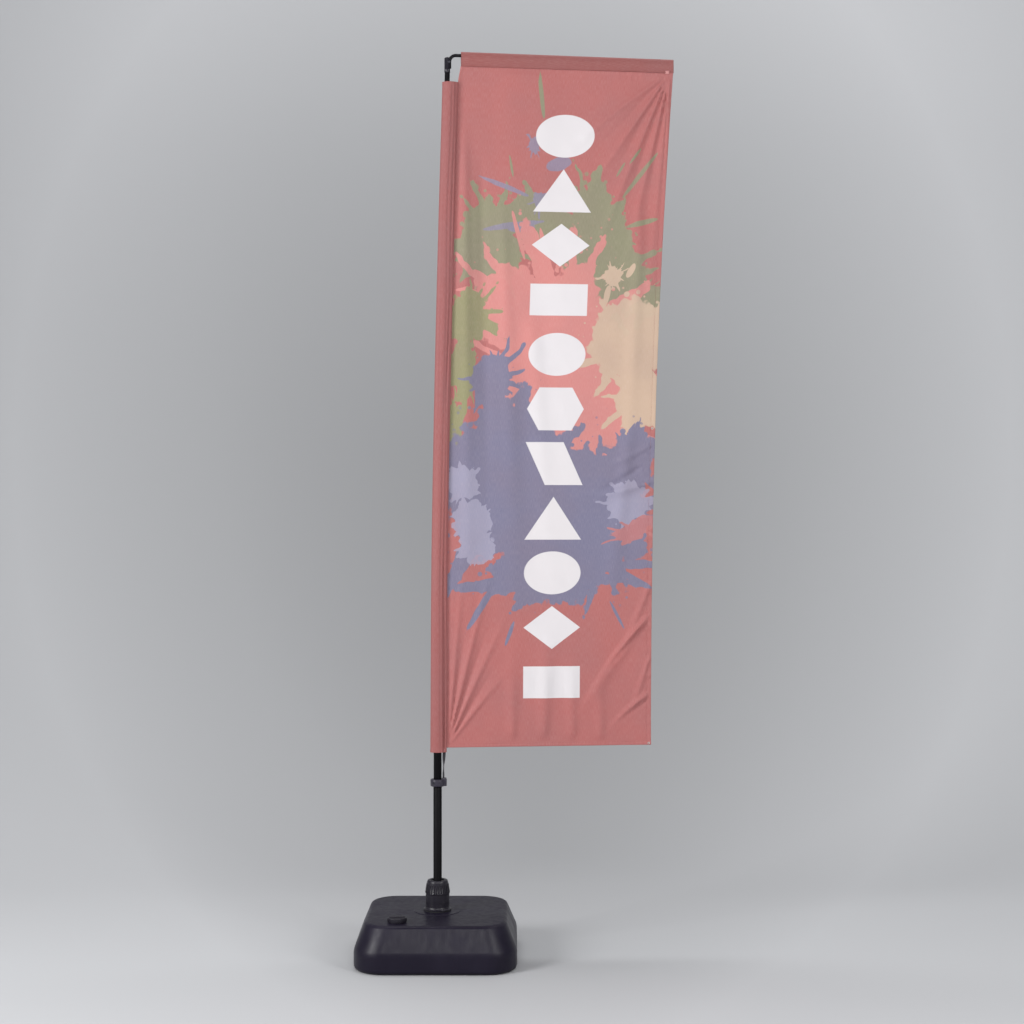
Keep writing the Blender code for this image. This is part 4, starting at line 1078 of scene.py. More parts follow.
@dataclass
class Hub:
    """Flared hub with a threaded top, and the ribbed nut that closes the collet."""

    finish: MouldedPlastic
    bush: MouldedPlastic
    gasket: Rubber
    seat: float = 0.1481
    foot: float = 0.0445
    body: float = 0.0380
    nut_seat: float = 0.1991
    thread: float = 0.0300
    bore: float = 0.0175
    collet_bore: float = 0.0235
    collet_seat: float = 0.1701
    root: float = 0.0247
    nut_ribs: int = 30
    nut_foot: float = 0.0381
    nut_shoulder: float = 0.0342
    nut_lip: float = 0.0292
    nut_mouth: float = 0.0215
    rib_rise: float = 0.0016

    def body_piece(self) -> bpy.types.Object:
        """Turn the hub: a rim, a hollow flare, a slim band and the threaded spigot."""
        flare = [(self.body + (self.foot - self.body) * (1.0 - math.cos(a)),
                  self.seat + 0.0125 - 0.0095 * math.sin(a))
                 for a in reversed(arc(15.0, 7))]
        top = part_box("hub_body")[1].z
        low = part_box("hub_body")[0].z
        threads = []
        for i in range(8):
            level = self.nut_seat + 0.0030 + i * 0.0030
            threads += [(self.thread - 0.0007, level), (self.thread, level + 0.0010),
                        (self.thread, level + 0.0014), (self.thread - 0.0007, level + 0.0024)]
        band = self.seat + 0.0265
        profile = [
            (self.foot - 0.0008, self.seat), (self.foot, self.seat + 0.0010),
            *flare,
            (self.body, band), (self.body + 0.0007, band + 0.0007),
            (self.body + 0.0007, band + 0.0020), (self.body, band + 0.0027),
            (self.body, self.nut_seat - 0.0012), (self.body - 0.0012, self.nut_seat),
            (self.thread - 0.0007, self.nut_seat), *threads,
            (self.thread - 0.0012, top - 0.0008), (self.thread - 0.0020, top),
            (self.collet_bore, top), (self.collet_bore, self.collet_seat),
            (self.bore, self.collet_seat), (self.bore, low), (self.root, low),
            (self.root, self.seat)]
        hub = Bench.turn("hub_moulding", profile, 96, ring=True)
        return fit(hub, "base", "hub", self.finish.material(), "hub_body")

    def nut_piece(self) -> bpy.types.Object:
        """Turn the nut and raise its ribs."""
        low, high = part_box("clamp_nut")
        rise = high.z - low.z
        shoulder = low.z + rise * 0.72
        lip = [(self.nut_lip + (self.nut_shoulder - self.nut_lip) * math.cos(a),
                shoulder + (high.z - shoulder) * math.sin(a))
               for a in arc(15.0, 7)]
        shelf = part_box("nut_slip_ring")[1].z + 0.0003
        bore = self.thread + 0.0008
        profile = [
            (self.nut_foot + 0.0009, low.z), (self.nut_foot + 0.0011, low.z + 0.0030),
            (self.nut_foot, low.z + 0.0042), (self.nut_shoulder, shoulder - 0.0015), *lip,
            (self.nut_mouth + 0.0025, high.z), (self.nut_mouth, high.z - 0.0025),
            (self.nut_mouth, shelf), (bore, shelf), (bore, low.z)]
        nut = Bench.turn("nut_moulding", profile, self.nut_ribs * 6, ring=True)
        Bench.rib(nut, self.nut_ribs, self.nut_shoulder - 0.001, (low.z + 0.0045, shoulder),
                  self.rib_rise)
        Bench.soften(nut, 0.0003, 38.0)
        Bench.tidy(nut, 40.0)
        return fit(nut, "nut", "hub", self.finish.material(), "clamp_nut")

    def build(self) -> None:
        """Build the hub and the nut, and dress the bushes and rings inside them."""
        self.body_piece()
        self.nut_piece()
        bush, gasket = self.bush.material(), self.gasket.material()
        for node in ("pole_collet", "nut_slip_ring", "thrust_washer", "foot_cup",
                     "pole_foot_plug"):
            dress(node, bush)
        for node in ("hub_gasket", "cap_seal"):
            dress(node, gasket)


def dress(node: str, material: bpy.types.Material) -> None:
    """Give a CAD node that stays a finish of its own."""
    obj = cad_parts[node]
    obj.data.materials.clear()
    obj.data.materials.append(material)


@dataclass
class FillerCap:
    """Screw cap with a ribbed skirt, a raised rim and a finger bar."""

    finish: MouldedPlastic
    ribs: int = 44
    rib_rise: float = 0.0008
    skirt_gap: float = 0.0246
    bar_width: float = 0.0088

    def build(self) -> bpy.types.Object:
        """Turn the cap, raise its ribs and set the bar across it."""
        low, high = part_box("filler_cap")
        radius = (high.x - low.x) / 2
        foot, top = low.z, high.z - 0.0032
        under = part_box("cap_seal")[1].z + 0.0003
        profile = [
            (self.skirt_gap, under), (self.skirt_gap, foot), (radius - 0.0010, foot),
            (radius - 0.0008, foot + 0.0022), (radius - 0.0010, top - 0.0026),
            (radius - 0.0004, top - 0.0018), (radius - 0.0014, top - 0.0002),
            (radius - 0.0030, top), (radius - 0.0044, top - 0.0008), (0.006, top - 0.0006)]
        cap = Bench.turn("cap_moulding", profile, self.ribs * 4)
        Bench.rib(cap, self.ribs, radius - 0.0020, (foot + 0.0024, top - 0.0028), self.rib_rise)
        bar = Bench.box("cap_bar", Vector((-radius * 0.78, -self.bar_width / 2, top - 0.0020)),
                        Vector((radius * 0.78, self.bar_width / 2, high.z)), 0.0012)
        Bench.combine(cap, bar, "UNION")
        Bench.soften(cap, 0.00025, 40.0)
        Bench.swing(cap, Matrix.Translation(((low.x + high.x) / 2, (low.y + high.y) / 2, 0.0)))
        Bench.tidy(cap, 35.0)
        return fit(cap, "cap", "cap", self.finish.material(), "filler_cap")


# ---- pole -------------------------------------------------------------------------------
@dataclass
class Pole:
    """The tubes that show: the lower pole, the mast's first tube and its last one."""

    lines: Lines
    finish: CoatedTube
    rings: MouldedPlastic
    sides: int = 56
    lower: float = 0.0135
    wall: float = 0.0012
    spigot: float = 0.0120
    middle: float = 0.0127
    top: float = 0.00835
    top_wall: float = 0.0010

    def build(self) -> None:
        """Turn the tubes, and dress the ones hidden in the sleeve."""
        coat = self.finish.material()
        low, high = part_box("pole_lower")
        bore = self.lower - self.wall
        lower = Bench.turn("lower_tube", [
            (self.lower, low.z), (self.lower, high.z - 0.0006), (self.lower - 0.0004, high.z),
            (bore, high.z), (bore, low.z)], self.sides, ring=True)
        fit(lower, "lower", "pole", coat, "pole_lower")

        low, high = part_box("pole_middle")
        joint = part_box("pole_lower")[1].z + 0.0003
        inner, bore = self.spigot - self.wall, self.middle - self.wall
        middle = Bench.turn("middle_tube", [
            (self.spigot - 0.0008, low.z), (self.spigot, low.z + 0.002), (self.spigot, joint),
            (self.middle - 0.0002, joint + 0.0004), (self.middle, joint + 0.0010),
            (self.middle, high.z), (bore, high.z), (bore, joint + 0.006),
            (inner, joint + 0.004), (inner, low.z)], self.sides, ring=True)
        Bench.to_flag(middle)
        fit(middle, "mast", "pole", coat, "pole_middle")

        low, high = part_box("pole_top")
        levels = np.linspace(low.z, high.z, 15)
        inner = self.top - self.top_wall
        outside = [(self.top, float(level)) for level in levels]
        inside = [(inner, float(level)) for level in levels[::-1]]
        top = Bench.turn("top_tube", outside + inside, self.sides, ring=True,
                         axis=lambda up: float(self.lines.lean(up)))
        Bench.to_flag(top)
        fit(top, "mast", "pole", coat, "pole_top")

        dress("pole_upper", coat)
        for node in ("joint_ring_lower", "joint_ring_upper"):
            dress(node, self.rings.material())


@dataclass
class TopArm:
    """The slotted clevis, the rivet, and the bent rod that carries the flag's top."""

    lines: Lines
    finish: CoatedTube
    moulding: MouldedPlastic
    metal: BrightMetal
    rubber: Rubber
    clevis: float = 0.0093
    crown: float = 0.0045
    rod: float = 0.0053
    leg: float = 0.0075
    bend: float = 0.020
    drop: float = 0.022
    pin: float = 0.0050
    pin_drop: float = 0.0155

    def clevis_piece(self) -> bpy.types.Object:
        """Turn the clevis and cut its slot."""
        low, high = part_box("hinge_clevis")
        neck = low.z + 0.014
        out = self.lines.head()
        floor = self.lines.mast_top + self.lines.arm_rise - self.bend - self.drop - 0.0003
        crown = [(self.clevis - self.crown * (1.0 - math.cos(a)),
                  high.z - self.crown * (1.0 - math.sin(a))) for a in arc(18.0, 6)]
        piece = Bench.turn("clevis_moulding", [
            (0.0067, low.z), (0.0067, neck), (self.clevis - 0.0006, neck),
            (self.clevis, neck + 0.0008), (self.clevis, neck + 0.009),
            (self.clevis + 0.0003, neck + 0.0096), (self.clevis, neck + 0.0102), *crown], 64,
            axis=lambda up: out)
        half = self.rod + 0.0004
        slot = Bench.box("clevis_slot", Vector((out + self.leg - self.rod - 0.0004, -half, floor)),
                         Vector((out + 0.03, half, high.z + 0.01)))
        Bench.combine(piece, slot, "DIFFERENCE")
        Bench.soften(piece, 0.0005, 45.0)
        Bench.tidy(piece, 35.0)
        Bench.to_flag(piece)
        return fit(piece, "mast", "hub", self.moulding.material(), "hinge_clevis")

    def rivet(self) -> bpy.types.Object:
        """Turn the rivet with a domed head on both sides and a ring under each."""
        half = self.clevis + 0.0003
        dome = [(0.0031 * math.cos(a), half + 0.0012 * math.sin(a))
                for a in arc(14.0, 7)]
        ring = [(0.0015, half - 0.0002), (0.0038, half), (0.0038, half + 0.0003),
                (0.0031, half + 0.0003)]
        above = ring + dome[1:]
        below = [(radius, -level) for radius, level in reversed(above)]
        pin = Bench.turn("arm_rivet", below + above, 32)
        centre = Vector((self.lines.head() + self.pin, 0.0, self.lines.mast_top - self.pin_drop))
        Bench.swing(pin, Matrix.Translation(centre) @ Matrix.Rotation(math.radians(90.0), 4, "X"))
        Bench.to_flag(pin)
        Bench.tidy(pin, 40.0)
        return fit(pin, "mast", "rivet_steel", self.metal.material(), "arm_pin")

    def arm(self) -> bpy.types.Object:
        """Extrude the rod up its leg, spin it round the bend and draw it out to its tip."""
        root = self.lines.head() + self.leg
        level = self.lines.mast_top + self.lines.arm_rise
        foot = level - self.bend - self.drop
        tip = self.lines.arm_span[1] - 0.0028
        Bench.rest()
        bpy.ops.mesh.primitive_circle_add(vertices=32, radius=self.rod, fill_type="NGON",
                                          location=(root, 0.0, foot))
        rod = Bench.started("arm_rod")
        bpy.ops.object.mode_set(mode="EDIT")
        bpy.ops.mesh.select_all(action="SELECT")
        bpy.ops.mesh.extrude_region_move(TRANSFORM_OT_translate={"value": (0.0, 0.0, self.drop)})
        bpy.ops.mesh.spin(steps=14, angle=math.radians(-90.0), axis=(0.0, 1.0, 0.0),
                          center=(root + self.bend, 0.0, level - self.bend))
        start = root + self.bend
        rise = float(self.lines.arm_axis(tip)) - level
        bpy.ops.mesh.extrude_region_move(
            TRANSFORM_OT_translate={"value": (tip - start, 0.0, rise)})
        Bench.tidy(rod, 40.0)
        Bench.to_flag(rod)
        return fit(rod, "mast", "arm_rod", self.finish.material(), "top_arm")

    def build(self) -> None:
        """Build the clevis, the rivet and the rod, and dress the tip's cap."""
        self.clevis_piece()
        self.rivet()
        self.arm()
        dress("arm_tip_cap", self.rubber.material())


@dataclass
class TensionCollar:
    """Collar on the mast with an ear, and the twisted elastic strap that it pulls on."""

    lines: Lines
    moulding: MouldedPlastic
    elastic: Elastic
    metal: BrightMetal
    radius: float = 0.0230
    bore: float = 0.0130
    chamfer: float = 0.0024
    ear: float = 0.0287
    ear_half: float = 0.0125
    ear_rise: float = 0.0030
    strap_foot: tuple[float, float] = (0.0166, 0.0219)
    strap_head: tuple[float, float] = (0.0165, 0.0262)
    strap_wall: float = 0.0013
    strap_print: float = 0.0097
    strap_flat: float = 0.0105

    def collar(self) -> bpy.types.Object:
        """Turn the collar, set the ear on it and cut the strap's slot."""
        low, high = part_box("tension_collar")
        top = high.z - self.ear_rise
        edge = self.radius - self.chamfer
        ring = Bench.turn("collar_moulding", [
            (self.bore, low.z), (edge, low.z), (self.radius - 0.0003, low.z + self.chamfer),
            (self.radius, low.z + self.chamfer + 0.001), (self.radius, top - self.chamfer - 0.001),
            (self.radius - 0.0003, top - self.chamfer), (edge, top),
            (self.bore + 0.0010, top), (self.bore, top - 0.0010)], 72, ring=True)
        ear = Bench.box("collar_ear", Vector((self.bore + 0.001, -self.ear_half, low.z + 0.0012)),
                        Vector((self.ear, self.ear_half, high.z)), 0.0022, 4)
        Bench.combine(ring, ear, "UNION")
        half = self.strap_wall / 2 + 0.0005
        slot = Bench.box("ear_slot", Vector((self.strap_foot[0] - 0.0005, -half, high.z - 0.009)),
                         Vector((self.strap_foot[1] + 0.0005, half, high.z + 0.01)))
        Bench.combine(ring, slot, "DIFFERENCE")
        Bench.soften(ring, 0.0004, 50.0)
        screw = Bench.turn("collar_screw", [
            (0.0042, 0.0), (0.0042, 0.0012), (0.0034, 0.0020), (0.0020, 0.0020),
            (0.0020, 0.0008), (0.0006, 0.0006)], 24)
        Bench.swing(screw, Matrix.Rotation(math.radians(-38.0), 4, "Z")
                    @ Matrix.Translation((0.0, -self.radius + 0.0004, (low.z + top) / 2))
                    @ Matrix.Rotation(math.radians(90.0), 4, "X"))
        Bench.tidy(ring, 35.0)
        Bench.to_flag(ring)
        Bench.to_flag(Bench.tidy(screw, 35.0))
        fit(screw, "collar", "rivet_steel", self.metal.material())
        return fit(ring, "collar", "collar", self.moulding.material(), "tension_collar")

    def strap(self) -> bpy.types.Object:
        """Lay the elastic from the ear's slot up into the sleeve, with a twist on the way."""
        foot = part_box("flag_strap")[0].z
        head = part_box("flag_strap")[1].z
        ear_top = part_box("tension_collar")[1].z

        def place(across: np.ndarray, along: np.ndarray) -> tuple[np.ndarray, ...]:
            """Out, deep and up for shares across and along."""
            up = foot + (head - foot) * along
            free = np.clip((up - ear_top) / (self.lines.sleeve_bottom - ear_top), 0.0, 1.0)
            left = self.strap_foot[0] + (self.strap_head[0] - self.strap_foot[0]) * free
            reach = self.strap_head[1] - self.strap_foot[1]
            right = self.strap_foot[1] + reach * ease(free * 1.6)
            twist = math.radians(72.0) * np.sin(math.pi * np.clip(free * 1.15, 0.0, 1.0)) ** 1.3
            middle, half = (left + right) / 2, (right - left) / 2
            side = (across * 2.0 - 1.0) * half
            bow = 0.0016 * np.sin(math.pi * free)
            return middle - bow + side * np.cos(twist), side * np.sin(twist) - bow, up

        strap = Cloth.lay("elastic_strap", 6, 60, place, Cloth.cut(self.strap_print, head - foot))
        Cloth.thicken(strap, self.strap_wall)
        fit(strap, "mast", "strap_elastic", self.elastic.material(), "flag_strap")
        strap.parent = None
        out = sum(self.strap_foot) / 2
        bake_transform(strap)
        return strap

    def build(self) -> None:
        """Build the collar and the strap."""
        self.collar()
        self.strap()


# ---- cloth ------------------------------------------------------------------------------
class SoftNoise:
    """Smooth noise on a plane, the same every time."""

    def __init__(self, seed: int, size: int = 48) -> None:
        """Draw the lattice.

        Args:
            seed: picks the lattice.
            size: how many cells before it repeats.
        """
        self.size = size
        self.lattice = np.random.default_rng(seed).uniform(-1.0, 1.0, (size, size))

    def at(self, across: np.ndarray, along: np.ndarray) -> np.ndarray:
        """Noise from -1 to 1 at places measured in cells."""
        column, row = np.floor(across).astype(int), np.floor(along).astype(int)
        x, y = ease(across - column), ease(along - row)
        pick = self.lattice
        n = self.size
        low = pick[column % n, row % n] * (1 - x) + pick[(column + 1) % n, row % n] * x
        high = pick[column % n, (row + 1) % n] * (1 - x) + pick[(column + 1) % n, (row + 1) % n] * x
        return low * (1 - y) + high * y


class Cloth:
    """Ways to lay a sheet of cloth in the flag's frame."""

    @staticmethod
    def lay(name: str, columns: int, rows: int, place: Placing, measure: Placing,
            wrapped: bool = False) -> bpy.types.Object:
        """Lay a grid of cloth, with its cut size as its UV map.

        Args:
            name: the name of the sheet.
            columns: faces across.
            rows: faces along.
            place: gives out, deep and up for shares across and along.
            measure: gives the place on the cut cloth, in metres, for the same shares.
            wrapped: whether the last column is sewn to the first.

        Returns:
            The sheet, a single layer.
        """
        Bench.rest()
        bpy.ops.mesh.primitive_grid_add(x_subdivisions=columns, y_subdivisions=rows, size=1.0)
        sheet = Bench.started(name)
        mesh = sheet.data
        flat = np.empty(len(mesh.vertices) * 3)
        mesh.vertices.foreach_get("co", flat)
        flat = flat.reshape(-1, 3) + 0.5
        across, along = flat[:, 0], flat[:, 1]
        out, deep, up = place(across, along)
        cosine, sine = math.cos(FLAG_YAW), math.sin(FLAG_YAW)
        placed = np.stack([out * cosine - deep * sine, out * sine + deep * cosine, up], axis=1)
        mesh.vertices.foreach_set("co", placed.ravel())
        corners = np.empty(len(mesh.loops), dtype=int)
        mesh.loops.foreach_get("vertex_index", corners)
        cut = np.stack(measure(across, along), axis=1)
        mesh.uv_layers[0].data.foreach_set("uv", cut[corners].ravel())
        mesh.update()
        if wrapped:
            Cloth.face_out(sheet, along, placed)
            with Bench.editing(sheet, Part.VERTS):
                bpy.ops.mesh.select_all(action="SELECT")
                bpy.ops.mesh.remove_doubles(threshold=0.000005)
        return sheet

    @staticmethod
    def face_out(sheet: bpy.types.Object, along: np.ndarray, placed: np.ndarray) -> None:
        """Turn a wrapped sheet's faces away from its own middle."""
        face = sheet.data.polygons[len(sheet.data.polygons) // 2]
        level = along[face.vertices[0]]
        core = placed[np.abs(along - level) < 1e-6].mean(axis=0)
        if face.normal.dot(face.center - Vector(core)) < 0.0:
            with Bench.editing(sheet):
                bpy.ops.mesh.select_all(action="SELECT")
                bpy.ops.mesh.flip_normals()

    @staticmethod
    def thicken(sheet: bpy.types.Object, wall: float, offset: float = 0.0) -> bpy.types.Object:
        """Give a sheet its thickness and shade it smooth with crisp cut edges.

        Args:
            sheet: the single layer.
            wall: its thickness.
            offset: 0 to thicken it both ways, -1 to thicken it inwards.

        Returns:
            The same sheet.
        """
        Bench.modify(sheet, "SOLIDIFY", thickness=wall, offset=offset)
        Bench.hold(sheet)
        bpy.ops.object.shade_smooth_by_angle(angle=math.radians(60.0))
        return sheet

    @staticmethod
    def cut(width: float, length: float) -> Placing:
        """Measure an oblong of cloth, as wide and as long as it is cut."""
        return lambda across, along: (across * width, along * length)


@dataclass(frozen=True)
class Fold:
    """One crease in the cloth: where it starts, how it runs, and how it swells and fades.

    The heading is in degrees from straight down, positive towards the free edge.
    """

    out: float
    up: float
    heading: float
    length: float
    height: float
    width: float = 0.008
    spread: float = 0.03
    bow: float = 0.0
    steep: float = 0.0

    def rise(self, out: np.ndarray, up: np.ndarray) -> np.ndarray:
        """How far the crease lifts the cloth at some places."""
        angle = math.radians(self.heading)
        along = (out - self.out) * math.sin(angle) + (self.up - up) * math.cos(angle)
        across = (out - self.out) * math.cos(angle) - (self.up - up) * math.sin(angle)
        across = across - self.bow * along ** 2
        reach = self.width + self.spread * np.clip(along, 0.0, None)
        reach = reach * (1.0 + self.steep * np.tanh(across / reach))
        share = along / self.length
        swell = ease(share * 9.0) * (1.0 - ease((share - 0.35) / 0.65))
        return self.height * swell * np.exp(-(across / reach) ** 2)


@dataclass
class Stitching:
    """Rows of sewn stitches, one short thread copied along a line."""

    pitch: float = 0.0042
    length: float = 0.0030
    radius: float = 0.00034

    def one(self) -> tuple[np.ndarray, list[tuple[int, ...]]]:
        """Model one stitch along +X and take its shape.

        Returns:
            Its vertices and its faces.
        """
        Bench.rest()
        bpy.ops.mesh.primitive_uv_sphere_add(segments=6, ring_count=4, radius=1.0)
        stitch = Bench.started("stitch")
        stitch.data.transform(Matrix.Rotation(math.radians(90.0), 4, "Y"))
        stitch.data.transform(Matrix.Diagonal((self.length / 2, self.radius, self.radius, 1.0)))
        points = np.array([vertex.co for vertex in stitch.data.vertices])
        faces = [tuple(face.vertices) for face in stitch.data.polygons]
        bpy.data.objects.remove(stitch)
        return points, faces

    def row(self, name: str, lines: Sequence[np.ndarray],
            material: bpy.types.Material) -> bpy.types.Object:
        """Sew stitches along lines of points in the flag's frame.

        Args:
            name: the name of the piece.
            lines: arrays of (out, deep, up) points.
            material: the thread's finish.

        Returns:
            The stitches, as one piece.
        """
        points, faces = self.one()
        turn = np.array(Matrix.Rotation(FLAG_YAW, 3, "Z"))
        verts, polys = [], []
        for line in lines:
            line = line @ turn.T
            steps = np.linalg.norm(np.diff(line, axis=0), axis=1)
            travel = np.concatenate([[0.0], np.cumsum(steps)])
            places = np.arange(self.pitch / 2, travel[-1], self.pitch)
            centres = np.stack([np.interp(places, travel, line[:, i]) for i in range(3)], axis=1)
            ahead = np.stack([np.interp(places + self.pitch / 4, travel, line[:, i])
                              for i in range(3)], axis=1)
            for centre, front in zip(centres, ahead):
                way = Vector(front - centre)
                if way.length < 1e-7:
                    continue
                matrix = np.array(way.to_track_quat("X", "Z").to_matrix())
                start = len(verts) * len(points)
                verts.append(points @ matrix.T + centre)
                polys += [tuple(index + start for index in face) for face in faces]
        mesh = bpy.data.meshes.new(name)
        mesh.from_pydata(np.concatenate(verts).tolist(), [], polys)
        mesh.update()
        obj = bpy.data.objects.new(name, mesh)
        bpy.context.scene.collection.objects.link(obj)
        Bench.hold(obj)
        bpy.ops.object.shade_smooth()
        return fit(obj, "mast", "flag_cloth", material)


@dataclass
class Drape:
    """How the hanging flag is creased: fans of folds from its held corners, ripples, puckers."""

    lines: Lines
    folds: tuple[Fold, ...]
    seed: int = 11
    depth: float = 1.75
    roll: float = 0.0022
    crumple: float = 0.0005
    pucker: float = 0.0011
    top_pucker: float = 0.0012

    def rise(self, out: np.ndarray, up: np.ndarray) -> np.ndarray:
        """How far the cloth stands towards the viewer at some places."""
        noise = SoftNoise(self.seed)
        inside = out - self.lines.seam(up)
        under = self.lines.arm_seam(out) - up
        margin = self.lines.free_edge(up) - out
        lift = self.roll * noise.at(out / 0.085 + 3.1, up / 0.62 + 1.7)
        lift = lift + self.roll * 0.6 * noise.at(out / 0.16 + 9.2, up / 0.21 + 4.4)
        lift = lift + self.crumple * noise.at(out / 0.034 + up / 0.11, up / 0.05)
        for fold in self.folds:
            lift = lift + self.depth * fold.rise(out, up)
        lift = lift * ease(inside / 0.022) * ease(under / 0.022)
        height = (up - self.lines.flag_bottom) / (self.lines.arm_seam(out) - self.lines.flag_bottom)
        low_edge = (1.0 - ease((height - 0.30) / 0.35)) * (1.0 - ease((margin - 0.008) / 0.040))
        lift = lift + self.pucker * low_edge * noise.at(up / 0.0125, out / 0.05 + 2.2)
        sewn = (1.0 - ease((under - 0.004) / 0.055)) * ease((out - 0.36) / 0.30)
        lift = lift + self.top_pucker * sewn * noise.at(out / 0.0085 + under / 0.09, under / 0.06)
        sleeve = (1.0 - ease((inside - 0.004) / 0.045)) * (1.0 - ease((up - 1.2) / 0.7))
        return lift + self.pucker * 0.8 * sleeve * noise.at(up / 0.021 + inside / 0.05, 7.7)


@dataclass
class Flag:
    """The printed panel with its hems, the two sleeves, the corner tab and the eyelet."""

    lines: Lines
    drape: Drape
    print_cloth: PrintedCloth
    painted_shade_sleeve_cloth: PlainCloth
    painted_shade_top_cloth: PlainCloth
    label: PlainCloth
    thread: Thread
    brass: BrightMetal
    wide: float = 0.68
    flat_wide: float = 0.70
    cut_away: float = 0.955
    cloth: float = 0.0004
    side_hem: float = 0.016
    bottom_hem: float = 0.012
    corner_hem: float = 0.008
    sleeve_wall: float = 0.0005
    sleeve_wide: float = 0.136
    sleeve_deep: float = 0.0158
    creases: tuple[tuple[float, float, float, float], ...] = (
        (0.58, 0.0034, 0.10, 1.0), (0.16, 0.0020, 0.12, 2.0), (-0.52, 0.0016, 0.12, 4.0),
        (0.86, 0.0018, 0.06, 6.0))
    top_wide: float = 0.106
    arm_deep: float = 0.0105
    tab_wall: float = 0.0007
    tab_wide: float = 0.013

    def top(self) -> float:
        """Greatest height of the panel."""
        return float(self.lines.arm_seam(self.lines.arm_span[0]))

    def panel(self) -> bpy.types.Object:
        """Lay the printed panel with its folds."""
        lines, low = self.lines, self.lines.flag_bottom

        def spot(across: np.ndarray, along: np.ndarray) -> tuple[np.ndarray, np.ndarray]:
            """Out and up on the panel for shares across and along."""
            level = low + (self.top() - low) * along
            left, right = lines.seam(level) - 0.0015, lines.free_edge(level) - 0.0004
            out = left + (right - left) * across
            return out, low + 0.0004 + (lines.arm_seam(out) + 0.0012 - low - 0.0004) * along

        def place(across: np.ndarray, along: np.ndarray) -> tuple[np.ndarray, ...]:
            """Out, deep and up for shares across and along."""
            out, up = spot(across, along)
            return out, -self.drape.rise(out, up), up

        def measure(across: np.ndarray, along: np.ndarray) -> tuple[np.ndarray, ...]:
            """Place on the cut cloth for shares across and along."""
            return across * self.wide, spot(across, along)[1] - low

        panel = Cloth.thicken(Cloth.lay("flag_cloth", 150, 310, place, measure), self.cloth)
        return fit(panel, "mast", "flag_cloth", self.print_cloth.material(), "flag_panel")

    def hem(self, name: str, rows: int, edge: Callable[[np.ndarray], tuple[np.ndarray, np.ndarray]],
            inward: tuple[float, float], width: float,
            extra: Callable[[np.ndarray], np.ndarray]) -> bpy.types.Object:
        """Fold a strip of cloth round one edge of the panel.

        Args:
            name: the name of the strip.
            rows: faces along it.
            edge: gives out and up of the edge for shares along it.
            inward: the direction from the edge into the panel, out and up.
            width: how wide the fold is.
            extra: how much further off the panel it lies, for shares along it.

        Returns:
            The strip.
        """
        keys = np.array([0.0, 0.03, 0.13, 0.23, 0.33, 0.42, 0.46, 0.5, 0.54, 0.58, 0.78, 0.97, 1.0])
        inset = np.array([1.0, 0.97, 0.75, 0.5, 0.25, 0.06, 0.01, 0.0, 0.01, 0.06, 0.5, 0.97, 1.0])
        puff = np.array([0.55, 0.75, 0.95, 1.25, 1.3, 1.0, 0.65, 0.0, -0.65, -1.0, -1.2, -0.75,
                         -0.55])

        def place(across: np.ndarray, along: np.ndarray) -> tuple[np.ndarray, ...]:
            """Out, deep and up for shares across and along."""
            inner = np.interp(across, keys, inset) * width
            side = np.interp(across, keys, puff)
            out, up = edge(along)
            out, up = out + inward[0] * inner, up + inward[1] * inner
            lift = side * (0.0009 + extra(along))
            return out, -(self.drape.rise(out, up) + lift), up

        def measure(across: np.ndarray, along: np.ndarray) -> tuple[np.ndarray, ...]:
            """Place on the cut cloth for shares across and along."""
            inner = np.interp(across, keys, inset) * width
            out, up = edge(along)
            out, up = out + inward[0] * inner, up + inward[1] * inner
            left, right = self.lines.seam(up), self.lines.free_edge(up)
            return (out - left) / (right - left) * self.wide, up - self.lines.flag_bottom

        return Cloth.thicken(Cloth.lay(name, 24, rows, place, measure), self.cloth)

    def hems(self) -> list[bpy.types.Object]:
        """Fold the free edge, the bottom edge and the short edge between the two sleeves."""
        lines, low = self.lines, self.lines.flag_bottom
        peak = float(lines.arm_seam(lines.arm_span[1]))

        def side_edge(along: np.ndarray) -> tuple[np.ndarray, np.ndarray]:
            """Out and up of the free edge."""
            up = low + 0.0012 + (peak - low) * along
            return lines.free_edge(up), up

        def foot_edge(along: np.ndarray) -> tuple[np.ndarray, np.ndarray]:
            """Out and up of the bottom edge."""
            start = float(lines.seam(np.array(low)))
            end = float(lines.free_edge(np.array(low)))
            return start + (end - start) * along, np.full_like(along, low)

        def corner_edge(along: np.ndarray) -> tuple[np.ndarray, np.ndarray]:
            """Out and up of the short edge between the sleeves."""
            up = lines.sleeve_top - 0.012 + (self.top() - lines.sleeve_top + 0.012) * along
            return lines.seam(up) - 0.0012, up

        def none(along: np.ndarray) -> np.ndarray:
            """No extra lift anywhere."""
            return along * 0.0

        side = self.hem("flag_side_hem", 430, side_edge, (-1.0, 0.0), self.side_hem, none)
        foot = self.hem("flag_bottom_hem", 150, foot_edge, (0.0, 1.0), self.bottom_hem,
                        lambda along: 0.0011 * ease((along - 0.955) / 0.02))
        corner = self.hem("flag_corner_hem", 14, corner_edge, (1.0, 0.0),
                          self.corner_hem, none)
        cloth = bpy.data.materials[self.print_cloth.name]
        fit(side, "mast", "flag_cloth", cloth, "side_hem")
        fit(foot, "mast", "flag_cloth", cloth, "bottom_hem")
        fit(corner, "mast", "flag_cloth", cloth)
        return [side, foot, corner]

    def pole_sleeve(self) -> bpy.types.Object:
        """Wrap the sleeve round the mast, with a crease beside its seam and a hem at each end."""
        lines = self.lines
        low, high = lines.sleeve_bottom, lines.sleeve_top
        noise = SoftNoise(5)

